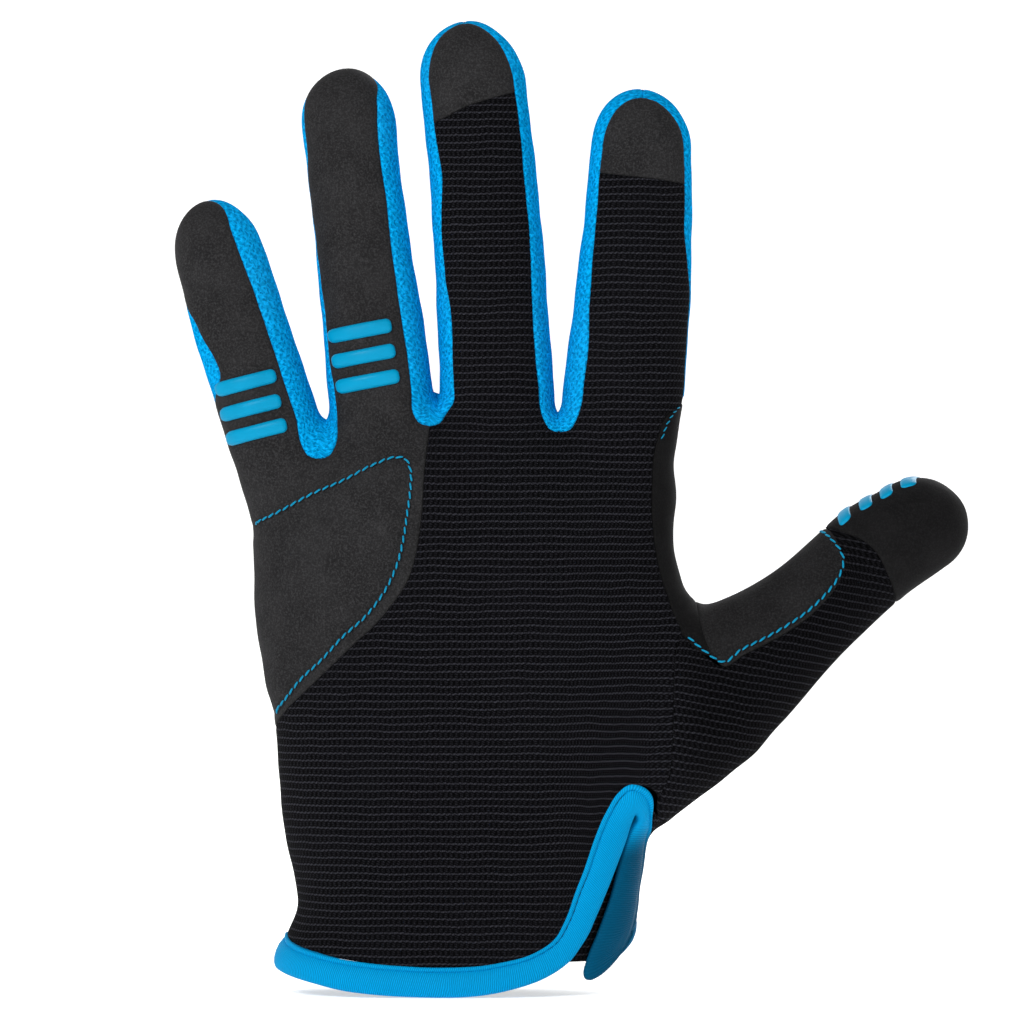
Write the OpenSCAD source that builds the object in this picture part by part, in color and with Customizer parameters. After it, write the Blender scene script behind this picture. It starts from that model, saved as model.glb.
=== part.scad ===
// Full-finger left-hand sailing glove, standing on its cuff with the fingers up.
// X runs towards the thumb, Y from the back of the hand to the palm, Z up along the fingers.
// The origin is the middle of the cuff's opening.

/* [Hand] */
// Width across the knuckles
palm_w = 103; // [94:1:110]
// Thickness of the filled palm at mid height
palm_t = 35; // [30:1:40]
// Width of the cuff
cuff_w = 77; // [72:1:84]
// Thickness of the cuff, back to palm
cuff_t = 40; // [34:1:44]
// Height of the finger roots above the cuff's lowest point
root_h = 124; // [118:1:130]

/* [Fingers] */
// Length of the index finger above its root
index_l = 80; // [72:1:88]
// Length of the middle finger above its root
middle_l = 95; // [86:1:102]
// Length of the ring finger above its root
ring_l = 86; // [78:1:94]
// Length of the little finger above its root
pinky_l = 60; // [54:1:66]
// Thickness of a finger at its root
finger_t = 20; // [18:0.5:21]
// How far a fingertip curls towards the palm
finger_curl = 4; // [0:0.5:6]

/* [Thumb] */
// Length of the thumb from the hand's edge to its tip
thumb_l = 79; // [72:1:84]
// Rise of the thumb above the horizontal, in degrees
thumb_rise = 36.5; // [33:0.5:40]
// Largest half width of the thumb's free part
thumb_w = 12.5; // [11:0.5:13]

/* [Fabric] */
// Thickness of a sewn panel
wall = 1; // [0.8:0.1:1.2]
// Gap left between two panels at a seam
seam = 0.3; // [0.2:0.05:0.5]
// Height of a raised grip bar
bar_t = 1.2; // [0.8:0.1:1.5]
// Diameter of the sewing thread
thread_d = 0.6; // [0.5:0.1:0.8]

/* [Cuff] */
// Width of the binding tape that shows
tape_w = 6.5; // [5:0.5:7]
// Height of the slit's top on the thumb side
slit_h = 47; // [40:1:50]

/* [Hidden] */

knit = "#141416";
suede = "#3a3a3c";
mesh_blue = "#0a8fdc";
trim_blue = "#1296d4";
foam = "#55585c";

HAND_N = 2.4;   // squareness of the hand's section, where 2 is an ellipse
FINGER_N = 2.2; // squareness of a finger's section
TIP_TURN = 84;  // how far round a fingertip's dome the panels run
DOME_ROWS = 4;  // rows of facets on a fingertip's dome

// Hand section by height: the middle's X, the half width and the half thickness.
hand_mid = [[0, 0], [24, 3.7], [66, 6.3], [100, 3.3], [124, 0.8], [136, 0]];
hand_half_w = [
    [0, cuff_w / 2], [24, cuff_w / 2], [45, 0.43 * palm_w], [66, 0.453 * palm_w],
    [100, 0.46 * palm_w], [124, 0.494 * palm_w], [136, palm_w / 2],
];
hand_half_t = [
    [0, cuff_t / 2], [24, cuff_t / 2], [66, palm_t / 2 + 1], [100, palm_t / 2 - 1],
    [124, palm_t / 2 - 4], [136, finger_t / 2 + 1],
];

// The cuff's open edge, as angle round the wrist and height: 0 is the back, 90 the thumb side, 180 the palm.
// Between 36 and 60 degrees it runs up one side of the slit and down the other.
cuff_edge = [
    [-95, 6.5], [-70, 4.5], [-40, 2], [-10, 0], [12, 0], [26, 3], [35, 8], [41, 13.5], [46, 20], [50, 28],
    [54, slit_h - 9], [57.5, slit_h - 5], [62, slit_h - 6.5], [63.5, 33], [63.5, 24], [61.5, 16], [58, 9.5],
    [59, 5.5], [66, 6], [78, 9.5], [92, 11.5], [110, 10], [140, 7], [180, 5], [215, 5], [245, 6],
];
MM_PER_DEGREE = 0.62; // length along the cuff's edge for each degree round it

// Side seams of the hand, as angles by height.
SIDE_SEAM = 98; // where back and palm meet on the little finger's side
knit_left = [
    [0, -SIDE_SEAM], [62, -SIDE_SEAM], [68, -57], [75, -44], [84, -30], [95, -19], [112, -12], [124, -8],
];
knit_right = [
    [6, 18], [10, 22], [14, 27], [20, 32.5], [28, 38], [slit_h - 7, 43.5], [slit_h + 1, 49], [slit_h + 5, 58],
    [66, 60], [100, 65], [136, 64],
];

// Fingers: the root's middle X, the lean from upright, the sideways bow, the half widths at the root, the middle
// and the tip, the back's seam angles, and how far the root lies above root_h.
INDEX = [0.368 * palm_w, 4.3, 1.3, [13, 12.4, 11.4], [-48, 66], 1, index_l];
MIDDLE = [0.102 * palm_w, -4, 1.3, [12, 12, 11.6], [-52, 50], 2, middle_l];
RING = [-0.134 * palm_w, -6.6, -0.9, [10.8, 10.9, 10], [-68, 38], 0, ring_l];
PINKY = [-0.373 * palm_w, -16.1, -0.6, [10.6, 10.4, 9.6], [-88, 33], -2, pinky_l];
PALM_SEAM = 130;    // angle of the seam between a finger's side and its palm
HINGE_RISE = 12;    // a knuckle's hinge above the finger's root
HINGE_DEPTH = 4;    // a knuckle's hinge behind the finger's middle
CAP_L = 18;         // length of a fingertip cap
BAR_L = 3.3;        // length of a grip bar along the finger
BAR_PITCH = 6;      // distance between grip bars

// Thumb: its root on the hand's edge and its half widths and half thicknesses from root to tip.
THUMB_ROOT = [52, 0, 64];
THUMB_EDGE = 49.2;  // X where the thumb's panels meet the hand's
thumb_half_w = [
    [-20, 21], [0, 20], [17, 16], [28, 1.08 * thumb_w], [45, 0.96 * thumb_w], [62, 0.93 * thumb_w], [84, 11.2],
];
thumb_half_t = [[-20, 16], [0, 15], [20, 13], [40, 11], [80, 10]];
THUMB_HINGE = 26;   // the thumb's hinge along it, from its root
THUMB_ROOM = 4.5;   // gap that lets the thumb fold
THUMB_PATCH_END = 50;
THUMB_CAP = 55;     // where the thumb's tip cap starts
THUMB_DOME = 10;    // length of the thumb's dome

function spow(x, p) = sign(x) * pow(abs(x), p);
function mix(a, b, t) = a + (b - a) * t;
function unit(v) = v / norm(v);

// A point of the hand's surface at an angle and a height, a given distance outside the form.
function hand_at(angle, z, out) =
    let (a = lookup(z, hand_half_w) + out, b = lookup(z, hand_half_t) + out)
    [
        lookup(z, hand_mid) + a * spow(sin(angle), 2 / HAND_N),
        -b * spow(cos(angle), 2 / HAND_N),
        z,
    ];

// A limb is [root, direction, sideways direction, length, half width table, half thickness table, dome, curl, bow].
function dome(along, length, cap) =
    along <= length - cap ? 1 : sqrt(max(0, 1 - pow((along - length + cap) / cap, 2)));
function limb_at(limb, angle, along, out) =
    let (
        share = along / limb[3],
        shrink = dome(along, limb[3], limb[6]),
        a = lookup(along, limb[4]) * shrink + out,
        b = lookup(along, limb[5]) * shrink + out,
        depth = limb[7] * share * share
    )
    limb[0] + limb[1] * along
    + limb[2] * (limb[8] * 4 * share * (1 - share) + a * spow(sin(angle), 2 / FINGER_N))
    + [0, depth - b * spow(cos(angle), 2 / FINGER_N), 0];

function finger_limb(f) =
    let (d = [sin(f[1]), 0, cos(f[1])])
    [
        [f[0], 0, root_h + f[5]], d, [d[2], 0, -d[0]], f[6],
        [[0, f[3][0]], [f[6] / 2, f[3][1]], [f[6], f[3][2]]],
        [[0, finger_t / 2], [f[6] / 2, finger_t / 2 - 0.6], [f[6], finger_t / 2 - 1.4]],
        f[3][2], finger_curl, f[2],
    ];

thumb_dir = [cos(thumb_rise), 0, sin(thumb_rise)];
THUMB = [
    THUMB_ROOT, thumb_dir, [thumb_dir[2], 0, -thumb_dir[0]], thumb_l, thumb_half_w, thumb_half_t,
    THUMB_DOME, 3, 0,
];

// A closed shell over a grid: point(u, v, out) for u and v from 0 to 1, between two distances from the form.
module shell(point, columns, rows, low, high) {
    side = (columns + 1) * (rows + 1);
    function at(layer, i, j) = layer * side + i * (rows + 1) + j;
    function quad(a, b, c, d) = [[a, b, c], [a, c, d]];
    points = [
        for (out = [low, high], i = [0:columns], j = [0:rows]) point(i / columns, j / rows, out)
    ];
    faces = [
        for (i = [0:columns - 1], j = [0:rows - 1], face = [
            each quad(at(1, i, j), at(1, i, j + 1), at(1, i + 1, j + 1), at(1, i + 1, j)),
            each quad(at(0, i, j), at(0, i + 1, j), at(0, i + 1, j + 1), at(0, i, j + 1)),
        ]) face,
        for (i = [0:columns - 1], face = [
            each quad(at(0, i, 0), at(1, i, 0), at(1, i + 1, 0), at(0, i + 1, 0)),
            each quad(at(0, i, rows), at(0, i + 1, rows), at(1, i + 1, rows), at(1, i, rows)),
        ]) face,
        for (j = [0:rows - 1], face = [
            each quad(at(0, 0, j), at(0, 0, j + 1), at(1, 0, j + 1), at(1, 0, j)),
            each quad(at(0, columns, j), at(1, columns, j), at(1, columns, j + 1), at(0, columns, j + 1)),
        ]) face,
    ];
    polyhedron(points, faces);
}

// A tube of thread along points, with square ends.
module thread(route, sides = 6) {
    last = len(route) - 1;
    rings = [
        for (i = [0:last])
            let (
                t = unit(route[min(i + 1, last)] - route[max(i - 1, 0)]),
                n = unit(cross(t, [0.13, 0.97, 0.21])),
                b = cross(t, n)
            )
            for (k = [0:sides - 1])
                route[i] + thread_d / 2 * (n * cos(360 * k / sides) + b * sin(360 * k / sides)),
    ];
    faces = [
        [for (k = [0:sides - 1]) k],
        [for (k = [sides - 1:-1:0]) last * sides + k],
        for (i = [0:last - 1], k = [0:sides - 1])
            let (a = i * sides + k, b = i * sides + (k + 1) % sides)
            each [[a, a + sides, b + sides], [a, b + sides, b]],
    ];
    polyhedron(rings, faces);
}

/* ---- hand ---- */

function cuff_height(angle) = lookup(angle, cuff_edge);
KNUCKLE_TOP = root_h - 1; // top of the hand's panels, below the finger roots
THREAD_LIFT = wall + thread_d / 2 + 0.1;

module back_panel() color(knit)
    shell(function (u, v, out)
        let (
            foot = cuff_height(mix(-SIDE_SEAM + 3, 17, u)) + tape_w + seam,
            z = mix(foot, KNUCKLE_TOP, v),
            angle = mix(lookup(z, knit_left) + seam, lookup(z, knit_right), u)
        )
        hand_at(angle, z, out), 18, 16, 0, wall);

SUEDE_FOOT = 65; // where the little finger side's suede starts
// The suede's top edge below the roots of the little and ring fingers, by its share of the way across.
suede_top = [[0, 117], [0.4, 118.3], [0.7, 120.5], [0.8, 121.5], [1, 121.5]];
module side_back_panel() color(suede)
    shell(function (u, v, out)
        let (
            z = mix(SUEDE_FOOT, lookup(u, suede_top) + root_h - 124, v),
            angle = mix(-SIDE_SEAM, lookup(z, knit_left) - seam, u)
        )
        hand_at(angle, z, out), 10, 12, 0, wall);

module side_pad() color(foam)
    shell(function (u, v, out)
        let (z = mix(76, 114, v), angle = mix(-SIDE_SEAM + 6, lookup(z, knit_left) - 7, u))
        hand_at(angle, z, out), 8, 8, -2.5, -0.1);

PALM_RIGHT = 118; // where the palm meets the thumb's base

// The palm ends a finger's turning radius below the little finger's hinge, which is the lowest.
PALM_TOP = root_h + PINKY[5] + HINGE_RISE * cos(PINKY[1]) - (finger_t / 2 - HINGE_DEPTH + wall);
module palm_panel() color(suede)
    shell(function (u, v, out)
        let (
            angle = mix(PALM_RIGHT + seam, 360 - SIDE_SEAM - seam, u),
            foot = cuff_height(min(angle, 245)) + tape_w + seam
        )
        hand_at(angle, mix(foot, PALM_TOP - max(0, u - 0.75) * 26, v), out), 20, 14, 0, wall);

module palm_heel_pad() color(suede)
    shell(function (u, v, out)
        let (z = mix(20, 68, v), angle = mix(200 + 6 * sin(180 * v), 249, u))
        hand_at(angle, z, out), 8, 8, wall + 0.1, wall + 2.4);

module palm_thumb_patch() color(suede)
    shell(function (u, v, out)
        let (z = mix(24, 98, v), angle = mix(124, 168 - 14 * (1 - sin(180 * v)), u))
        hand_at(angle, z, out), 8, 10, wall + 0.1, wall + 0.9);

EDGE_FOOT = 91; // lowest point of the suede on the index finger's side
module index_edge_panel() color(suede)
    shell(function (u, v, out)
        let (z = mix(EDGE_FOOT, KNUCKLE_TOP, v), angle = mix(lookup(z, knit_right) + seam, PALM_RIGHT, u))
        hand_at(angle, z, out), 8, 8, 0, wall);

module wrist_side_panel() color(knit)
    shell(function (u, v, out)
        let (
            z = mix(mix(19, cuff_height(PALM_RIGHT) + tape_w + seam, u), 46, v),
            left = lookup(z, [[14, 90], [20, 83], [32, 80], [47, 84]])
        )
        hand_at(mix(left, PALM_RIGHT, u), z, out), 6, 8, 0, wall);

module slit_insert() color(knit)
    shell(function (u, v, out)
        let (z = mix(8, slit_h - 1, v), middle = lookup(z, [[8, 50], [28, 57], [slit_h - 1, 60]]))
        hand_at(middle + mix(-14, 14, u) * (1.15 - 0.45 * v), z, out), 6, 6, -1.9, -1);

// The binding tape, folded over the cuff's open edge and up both sides of the slit.
function edge_flat(i) =
    let (n = len(cuff_edge), k = (i + n) % n, turns = floor(i / n))
    [(cuff_edge[k][0] + 360 * turns) * MM_PER_DEGREE, cuff_edge[k][1]];
function edge_in(i) =
    let (t = unit(edge_flat(i + 1) - edge_flat(i - 1)))
    edge_flat(i) + tape_w * [-t[1], t[0]];
function tape_at(i, across, out) =
    let (p = mix(edge_flat(i), edge_in(i), across))
    hand_at(p[0] / MM_PER_DEGREE, p[1], out);

module cuff_binding() color(trim_blue) {
    count = len(cuff_edge);
    low = -0.6;
    high = wall + 0.6;
    points = [
        for (i = [0:count - 1]) each [
            tape_at(i, 0, low), tape_at(i, 1, low), tape_at(i, 1, high), tape_at(i, 0, high),
        ],
    ];
    faces = [
        for (i = [0:count - 1], k = [0:3])
            let (a = 4 * i + k, b = 4 * i + (k + 1) % 4, c = 4 * ((i + 1) % count) + (k + 1) % 4, d = 4 * ((i + 1) % count) + k)
            each [[a, b, c], [a, c, d]],
    ];
    polyhedron(points, faces);
}

module cuff_stitching() color(trim_blue)
    thread([for (i = [0:11]) tape_at(i, 0.82, wall + 0.7 + thread_d / 2)]);

// The stitched outline of the padding on the little finger's side, as angle and height.
side_line = [
    [-90, 107], [-60, 110.5], [-40, 114], [-25, 118], [-15, 120.5], [-12.5, 119], [-13, 112], [-15, 104],
    [-18, 97], [-24, 90], [-33, 84], [-44, 78], [-57, 72], [-72, 68],
];
module side_stitching() color(trim_blue)
    thread([
        for (i = [0:len(side_line) - 2], t = [0:0.25:0.75])
            let (p = mix(side_line[i], side_line[i + 1], t))
            hand_at(p[0], p[1], THREAD_LIFT + 0.1),
    ]);

module index_edge_stitching() color(trim_blue)
    thread([for (z = [94:6:118]) hand_at(lookup(z, knit_right) + 3, z, THREAD_LIFT)]);

module heel_pad_stitching() color(trim_blue)
    thread([for (z = [22:4:66]) hand_at(205 + 6 * sin(180 * (z - 20) / 48), z, wall + 2.5 + thread_d / 2)]);

/* ---- fingers ---- */

// Distance along a finger for a row of its grid: even up to the dome, then even in angle round it.
function row_along(limb, start, v, rows) =
    let (shaft = limb[3] - limb[6], i = v * rows, bent = i - (rows - DOME_ROWS))
    bent <= 0
        ? mix(start, shaft, i / (rows - DOME_ROWS))
        : shaft + limb[6] * sin(TIP_TURN * bent / DOME_ROWS);

FINGER_ROWS = 9;
module finger_strip(f, start_a, start_b, angle_a, angle_b, columns, stop = 1) {
    limb = finger_limb(f);
    shell(function (u, v, out)
        let (
            start = mix(start_a, start_b, u),
            along = stop == 1 ? row_along(limb, start, v, FINGER_ROWS) : mix(start, stop, v)
        )
        limb_at(limb, mix(angle_a, angle_b, u), along, out), columns, FINGER_ROWS, 0, wall);
}

module finger_back(f, cap)
    finger_strip(f, 0, 0, f[4][0] + seam, f[4][1] - seam, 6, cap ? f[6] - CAP_L : 1);
module finger_palm(f)
    finger_strip(f, HINGE_RISE, HINGE_RISE, PALM_SEAM + seam, 360 - PALM_SEAM - seam, 6);
module finger_outer(f) // the side towards the thumb
    finger_strip(f, 3, HINGE_RISE, f[4][1] + seam, PALM_SEAM - seam, 5);
module finger_inner(f) // the side towards the little finger
    finger_strip(f, HINGE_RISE, 3, 360 - PALM_SEAM + seam, 360 + f[4][0] - seam, 5);

module finger_cap(f) {
    limb = finger_limb(f);
    start = f[6] - CAP_L + seam;
    shell(function (u, v, out)
        limb_at(limb, mix(f[4][0] + seam, f[4][1] - seam, u), row_along(limb, start, v, 6), out),
        6, 6, 0, wall);
}

// Grip bars across a limb: each covers an angle either side of a middle one.
module bars(limb, firsts, half_angle, middle, tilt) {
    for (first = firsts)
        shell(function (u, v, out)
            limb_at(limb, middle + mix(-half_angle, half_angle, u), first + BAR_L * v + mix(-tilt, tilt, u), out),
            5, 1, wall + 0.1, wall + bar_t);
}

module ring_bars() color(trim_blue)
    bars(finger_limb(RING), [for (i = [0:2]) 13.5 + BAR_PITCH * i], 35, -15, 1.2);
module pinky_bars() color(trim_blue)
    bars(finger_limb(PINKY), [for (i = [0:2]) 3.5 + BAR_PITCH * i], 36, -25, 0.6);

/* ---- thumb ---- */

// The thumb's root follows the hand's edge, which is upright, so it starts further along on the index's side.
function thumb_start(angle) =
    (THUMB_EDGE - THUMB_ROOT[0] - 20.5 * thumb_dir[2] * spow(sin(angle), 2 / FINGER_N)) / thumb_dir[0];
BACK_LEFT = -28;  // seam between the thumb's knit back and the patch in its crotch
BACK_RIGHT = 100; // seam between the thumb's back and its palm

// The base stops lower on the side that the thumb folds towards, where its other half turns in.
function thumb_base_end(angle) = THUMB_HINGE - THUMB_ROOM - 7 * max(0, cos(angle - 225));
module thumb_base(angle_a, angle_b, columns)
    shell(function (u, v, out)
        let (angle = mix(angle_a, angle_b, u))
        limb_at(THUMB, angle, mix(thumb_start(angle), thumb_base_end(angle), v), out),
        columns, 5, 0, wall);

module thumb_base_back() color(knit) thumb_base(BACK_LEFT + seam, BACK_RIGHT - seam, 8);
module thumb_base_patch() color(suede) thumb_base(-80, BACK_LEFT - seam, 4);
module thumb_base_palm() color(suede) thumb_base(BACK_RIGHT + seam, 280 - seam, 9);

module thumb_shaft(angle_a, angle_b, stop, columns)
    shell(function (u, v, out)
        limb_at(THUMB, mix(angle_a, angle_b, u), mix(THUMB_HINGE, stop, v), out), columns, 5, 0, wall);

module thumb_back() color(knit) thumb_shaft(BACK_LEFT + seam, BACK_RIGHT - seam, THUMB_CAP, 7);
module thumb_patch() color(suede) thumb_shaft(-95, BACK_LEFT - seam, THUMB_PATCH_END, 4);
module thumb_palm() color(suede)
    shell(function (u, v, out)
        limb_at(THUMB, mix(BACK_RIGHT + seam, 265 - seam, u), row_along(THUMB, THUMB_HINGE, v, 9), out),
        7, 9, 0, wall);
module thumb_tip_cap() color(suede)
    shell(function (u, v, out)
        limb_at(THUMB, mix(-95, BACK_RIGHT - seam, u), row_along(THUMB, THUMB_CAP + seam, v, 6), out),
        8, 6, 0, wall);
module thumb_bars() color(trim_blue)
    bars(THUMB, [for (i = [0:3]) thumb_l - 25 + 5.8 * i], 26, -104, 0);
module thumb_stitching() color(trim_blue)
    thread([for (s = [THUMB_HINGE + 1:3:THUMB_PATCH_END]) limb_at(THUMB, BACK_LEFT - 6, s, THREAD_LIFT)]);

back_panel();
side_back_panel();
side_pad();
palm_panel();
palm_heel_pad();
palm_thumb_patch();
index_edge_panel();
wrist_side_panel();
slit_insert();
thumb_base_back();
thumb_base_palm();
thumb_base_patch();
cuff_binding();
cuff_stitching();
side_stitching();
index_edge_stitching();
heel_pad_stitching();
color(knit) finger_back(INDEX, true);  // index_back
color(suede) finger_cap(INDEX);  // index_tip_cap
color(suede) finger_palm(INDEX);  // index_palm
color(mesh_blue) finger_inner(INDEX);  // index_side_inner
color(mesh_blue) finger_outer(INDEX);  // index_side_outer
color(knit) finger_back(MIDDLE, true);  // middle_back
color(suede) finger_cap(MIDDLE);  // middle_tip_cap
color(suede) finger_palm(MIDDLE);  // middle_palm
color(mesh_blue) finger_inner(MIDDLE);  // middle_side_inner
color(mesh_blue) finger_outer(MIDDLE);  // middle_side_outer
color(suede) finger_back(RING, false);  // ring_back
color(suede) finger_palm(RING);  // ring_palm
color(mesh_blue) finger_inner(RING);  // ring_side_inner
color(mesh_blue) finger_outer(RING);  // ring_side_outer
ring_bars();
color(suede) finger_back(PINKY, false);  // pinky_back
color(suede) finger_palm(PINKY);  // pinky_palm
color(mesh_blue) finger_inner(PINKY);  // pinky_side_inner
color(mesh_blue) finger_outer(PINKY);  // pinky_side_outer
pinky_bars();
thumb_back();
thumb_patch();
thumb_palm();
thumb_tip_cap();
thumb_bars();
thumb_stitching();
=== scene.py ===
"""A left-hand sailing glove, sewn up from panels of knit, suede and mesh and filled as if worn.

One rounded form stands for the filled glove. Every panel is a grid of points settled on that form between shared
seam lines, then given its own thickness and rolled edges. All lengths inside the shapes are in millimetres.
"""

import math

import bmesh
import bpy
import numpy as np
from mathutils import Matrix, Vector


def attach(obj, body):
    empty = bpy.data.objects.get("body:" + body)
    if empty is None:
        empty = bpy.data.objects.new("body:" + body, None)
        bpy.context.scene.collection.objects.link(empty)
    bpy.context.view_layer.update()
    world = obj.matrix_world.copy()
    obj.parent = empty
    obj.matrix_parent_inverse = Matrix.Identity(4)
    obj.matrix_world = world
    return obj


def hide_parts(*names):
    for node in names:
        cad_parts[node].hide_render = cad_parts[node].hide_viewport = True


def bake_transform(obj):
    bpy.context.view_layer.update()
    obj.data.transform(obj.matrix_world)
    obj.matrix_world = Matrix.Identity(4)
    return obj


bl_info = {
    "name": "Sailing glove",
    "version": (1, 0, 0),
    "blender": (4, 5, 0),
    "location": "View3D > Sidebar > Glove",
    "description": "Sews a full-finger sailing glove onto its frame",
    "category": "Object",
}

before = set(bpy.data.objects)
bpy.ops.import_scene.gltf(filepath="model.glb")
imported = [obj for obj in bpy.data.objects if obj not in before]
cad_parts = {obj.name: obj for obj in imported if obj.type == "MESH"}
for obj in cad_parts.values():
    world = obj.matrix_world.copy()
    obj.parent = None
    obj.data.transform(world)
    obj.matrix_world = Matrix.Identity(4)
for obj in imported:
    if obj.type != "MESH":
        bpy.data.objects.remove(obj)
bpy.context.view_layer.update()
MM = 0.001
UP_Y = np.array([0.0, 1.0, 0.0])


# ---- curves ----

def smooth(table, t):
    """Value at t of a smooth curve through the table's points: a cubic between points that meets each with the mean
    slope of its neighbours."""
    x, y = np.array(table, float).T
    slope = np.gradient(y, x)
    t = np.clip(t, x[0], x[-1])
    i = np.clip(np.searchsorted(x, t, side="right") - 1, 0, len(x) - 2)
    h = x[i + 1] - x[i]
    u = (t - x[i]) / h
    return (
        y[i] * (1 + 2 * u) * (1 - u) ** 2 + slope[i] * h * u * (1 - u) ** 2
        + y[i + 1] * u * u * (3 - 2 * u) + slope[i + 1] * h * u * u * (u - 1)
    )


def line(*parts):
    """A smooth curve through points of any dimension, as a function of the share of its length from 0 to 1."""
    points = np.concatenate([np.atleast_2d(np.array(p, float)) for p in parts])
    step = np.linalg.norm(np.diff(points, axis=0), axis=1)
    keep = np.concatenate([[True], step > 1e-6])
    points = points[keep]
    if len(points) < 2:
        return lambda q: np.repeat(points[:1], len(np.atleast_1d(q)), axis=0)
    share = np.concatenate([[0], np.cumsum(np.linalg.norm(np.diff(points, axis=0), axis=1))])
    share /= share[-1]
    columns = [np.stack([share, c], axis=1) for c in points.T]
    return lambda q: np.stack([smooth(c, np.asarray(q, float)) for c in columns], axis=-1)


def spow(x, p):
    """The power p of the size of x, with the sign of x."""
    return np.sign(x) * np.abs(x) ** p


def ramp(x):
    """A smooth step from 0 to 1 as x goes from 0 to 1."""
    x = np.clip(x, 0, 1)
    return x * x * (3 - 2 * x)


# ---- the glove's form ----

HAND_N = 2.4
FINGER_N = 2.2
HAND_LEFT = [
    (0, -39.4), (6, -39), (10, -37.8), (14, -35.8), (18.6, -34), (23, -33.6), (32, -34), (41, -35),
    (50, -36.4), (59, -38), (68, -40.1), (77, -41.6), (86, -42.9), (96, -43.2), (105, -42.9), (110, -43.4),
    (114, -44.8), (118, -46.2), (124, -47.8), (131, -49.4),
]
HAND_RIGHT = [
    (0, 38), (10, 39.4), (14, 40.8), (18.6, 41.6), (23, 42.1), (28, 43), (32, 43.4), (37, 44), (46, 46),
    (56, 48.2), (66, 49.8), (76, 51.6), (83, 54), (88, 54), (93, 52), (99, 50.4), (105, 50), (114, 50.9),
    (124, 51.4), (131, 51.5),
]
HAND_DEPTH = [
    (0, 20.6), (12, 20), (24, 19.2), (45, 18.6), (66, 18.4), (84, 17.6), (100, 16.4), (112, 15.4), (132, 14.5),
]
HAND_DOME_FOOT = 109
HAND_TOP = 132


def section(u, v, w, a, b, c, n):
    """Rough distance outside a rounded section: its own radius, (|u/a|^n + |v/b|^n)^(1/n), joined with w/c as in a
    circle, less one, divided by how fast it grows."""
    ru, rv = np.abs(u) / a, np.abs(v) / b
    flat = (ru**n + rv**n) ** (1 / n) + 1e-9
    whole = np.sqrt(flat**2 + (w / c) ** 2)
    pull = flat / whole * flat ** (1 - n)
    grow = np.sqrt((pull * ru ** (n - 1) / a) ** 2 + (pull * rv ** (n - 1) / b) ** 2 + (w / (whole * c * c)) ** 2)
    return (whole - 1) / np.maximum(grow, 0.5 / np.maximum(a, b))


def join(a, b, k):
    """The nearer of two distances, rounded off over a width k where they are alike."""
    h = np.maximum(k - np.abs(a - b), 0) / k
    return np.minimum(a, b) - h * h * k / 4


class Limb:
    """A finger or the thumb: a rounded tube along a leaning middle line that bows and curls a little, closed by a
    dome at its tip and by a long one inside the hand."""

    def __init__(self, root, lean, length, dome, half_width, half_depth, bow, curl, foot):
        lean = math.radians(lean)
        self.root = np.array(root, float)
        self.ahead = np.array([math.sin(lean), 0, math.cos(lean)])
        self.side = np.array([math.cos(lean), 0, -math.sin(lean)])
        self.length, self.dome, self.foot = length, dome, foot
        self.half_width, self.half_depth, self.bow, self.curl = half_width, half_depth, bow, curl

    def middle(self, s):
        """The middle line's sideways and palmward offsets at a distance s from the root."""
        return smooth(self.bow, s), self.curl * np.clip(s / self.length, 0, 1) ** 2

    def at(self, s, angle):
        """The tube's point at s and an angle from the back: the sines and cosines to the power 2/n, times the half
        width and half depth, which shrink over the dome as a quarter ellipse does."""
        s, angle = np.broadcast_arrays(np.asarray(s, float), np.asarray(angle, float))
        w = np.clip((s - self.length + self.dome) / self.dome, 0, 1)
        shrink = np.sqrt(1 - w * w)
        bow, curl = self.middle(s)
        turn = np.radians(angle)
        u = bow + smooth(self.half_width, s) * shrink * spow(np.sin(turn), 2 / FINGER_N)
        v = curl - smooth(self.half_depth, s) * shrink * spow(np.cos(turn), 2 / FINGER_N)
        return self.root + s[..., None] * self.ahead + u[..., None] * self.side + v[..., None] * UP_Y

    def level(self, p):
        q = p - self.root
        s = q @ self.ahead
        bow, curl = self.middle(s)
        w = np.maximum(s - self.length + self.dome, 0) + np.maximum(self.foot - s, 0)
        a, b = smooth(self.half_width, s), smooth(self.half_depth, s)
        return section(q @ self.side - bow, q[..., 1] - curl, w, a, b, self.dome, FINGER_N)

    def reach(self, s):
        """The middle line's point at s, in metres."""
        return tuple(float(c) for c in (self.root + s * self.ahead) * MM)


def bowed(length, amount, foot=0.0):
    """A finger's sideways bow, with its foot moved sideways as well."""
    s = np.array([-40, -20, 4, 9, 16, 24, 34, *np.linspace(0.5, 1, 5) * length])
    aside = foot * np.exp(-(((s - 9) / 8) ** 2))
    return list(zip(s, 4 * amount * (s / length) * (1 - s / length) + aside))


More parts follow.
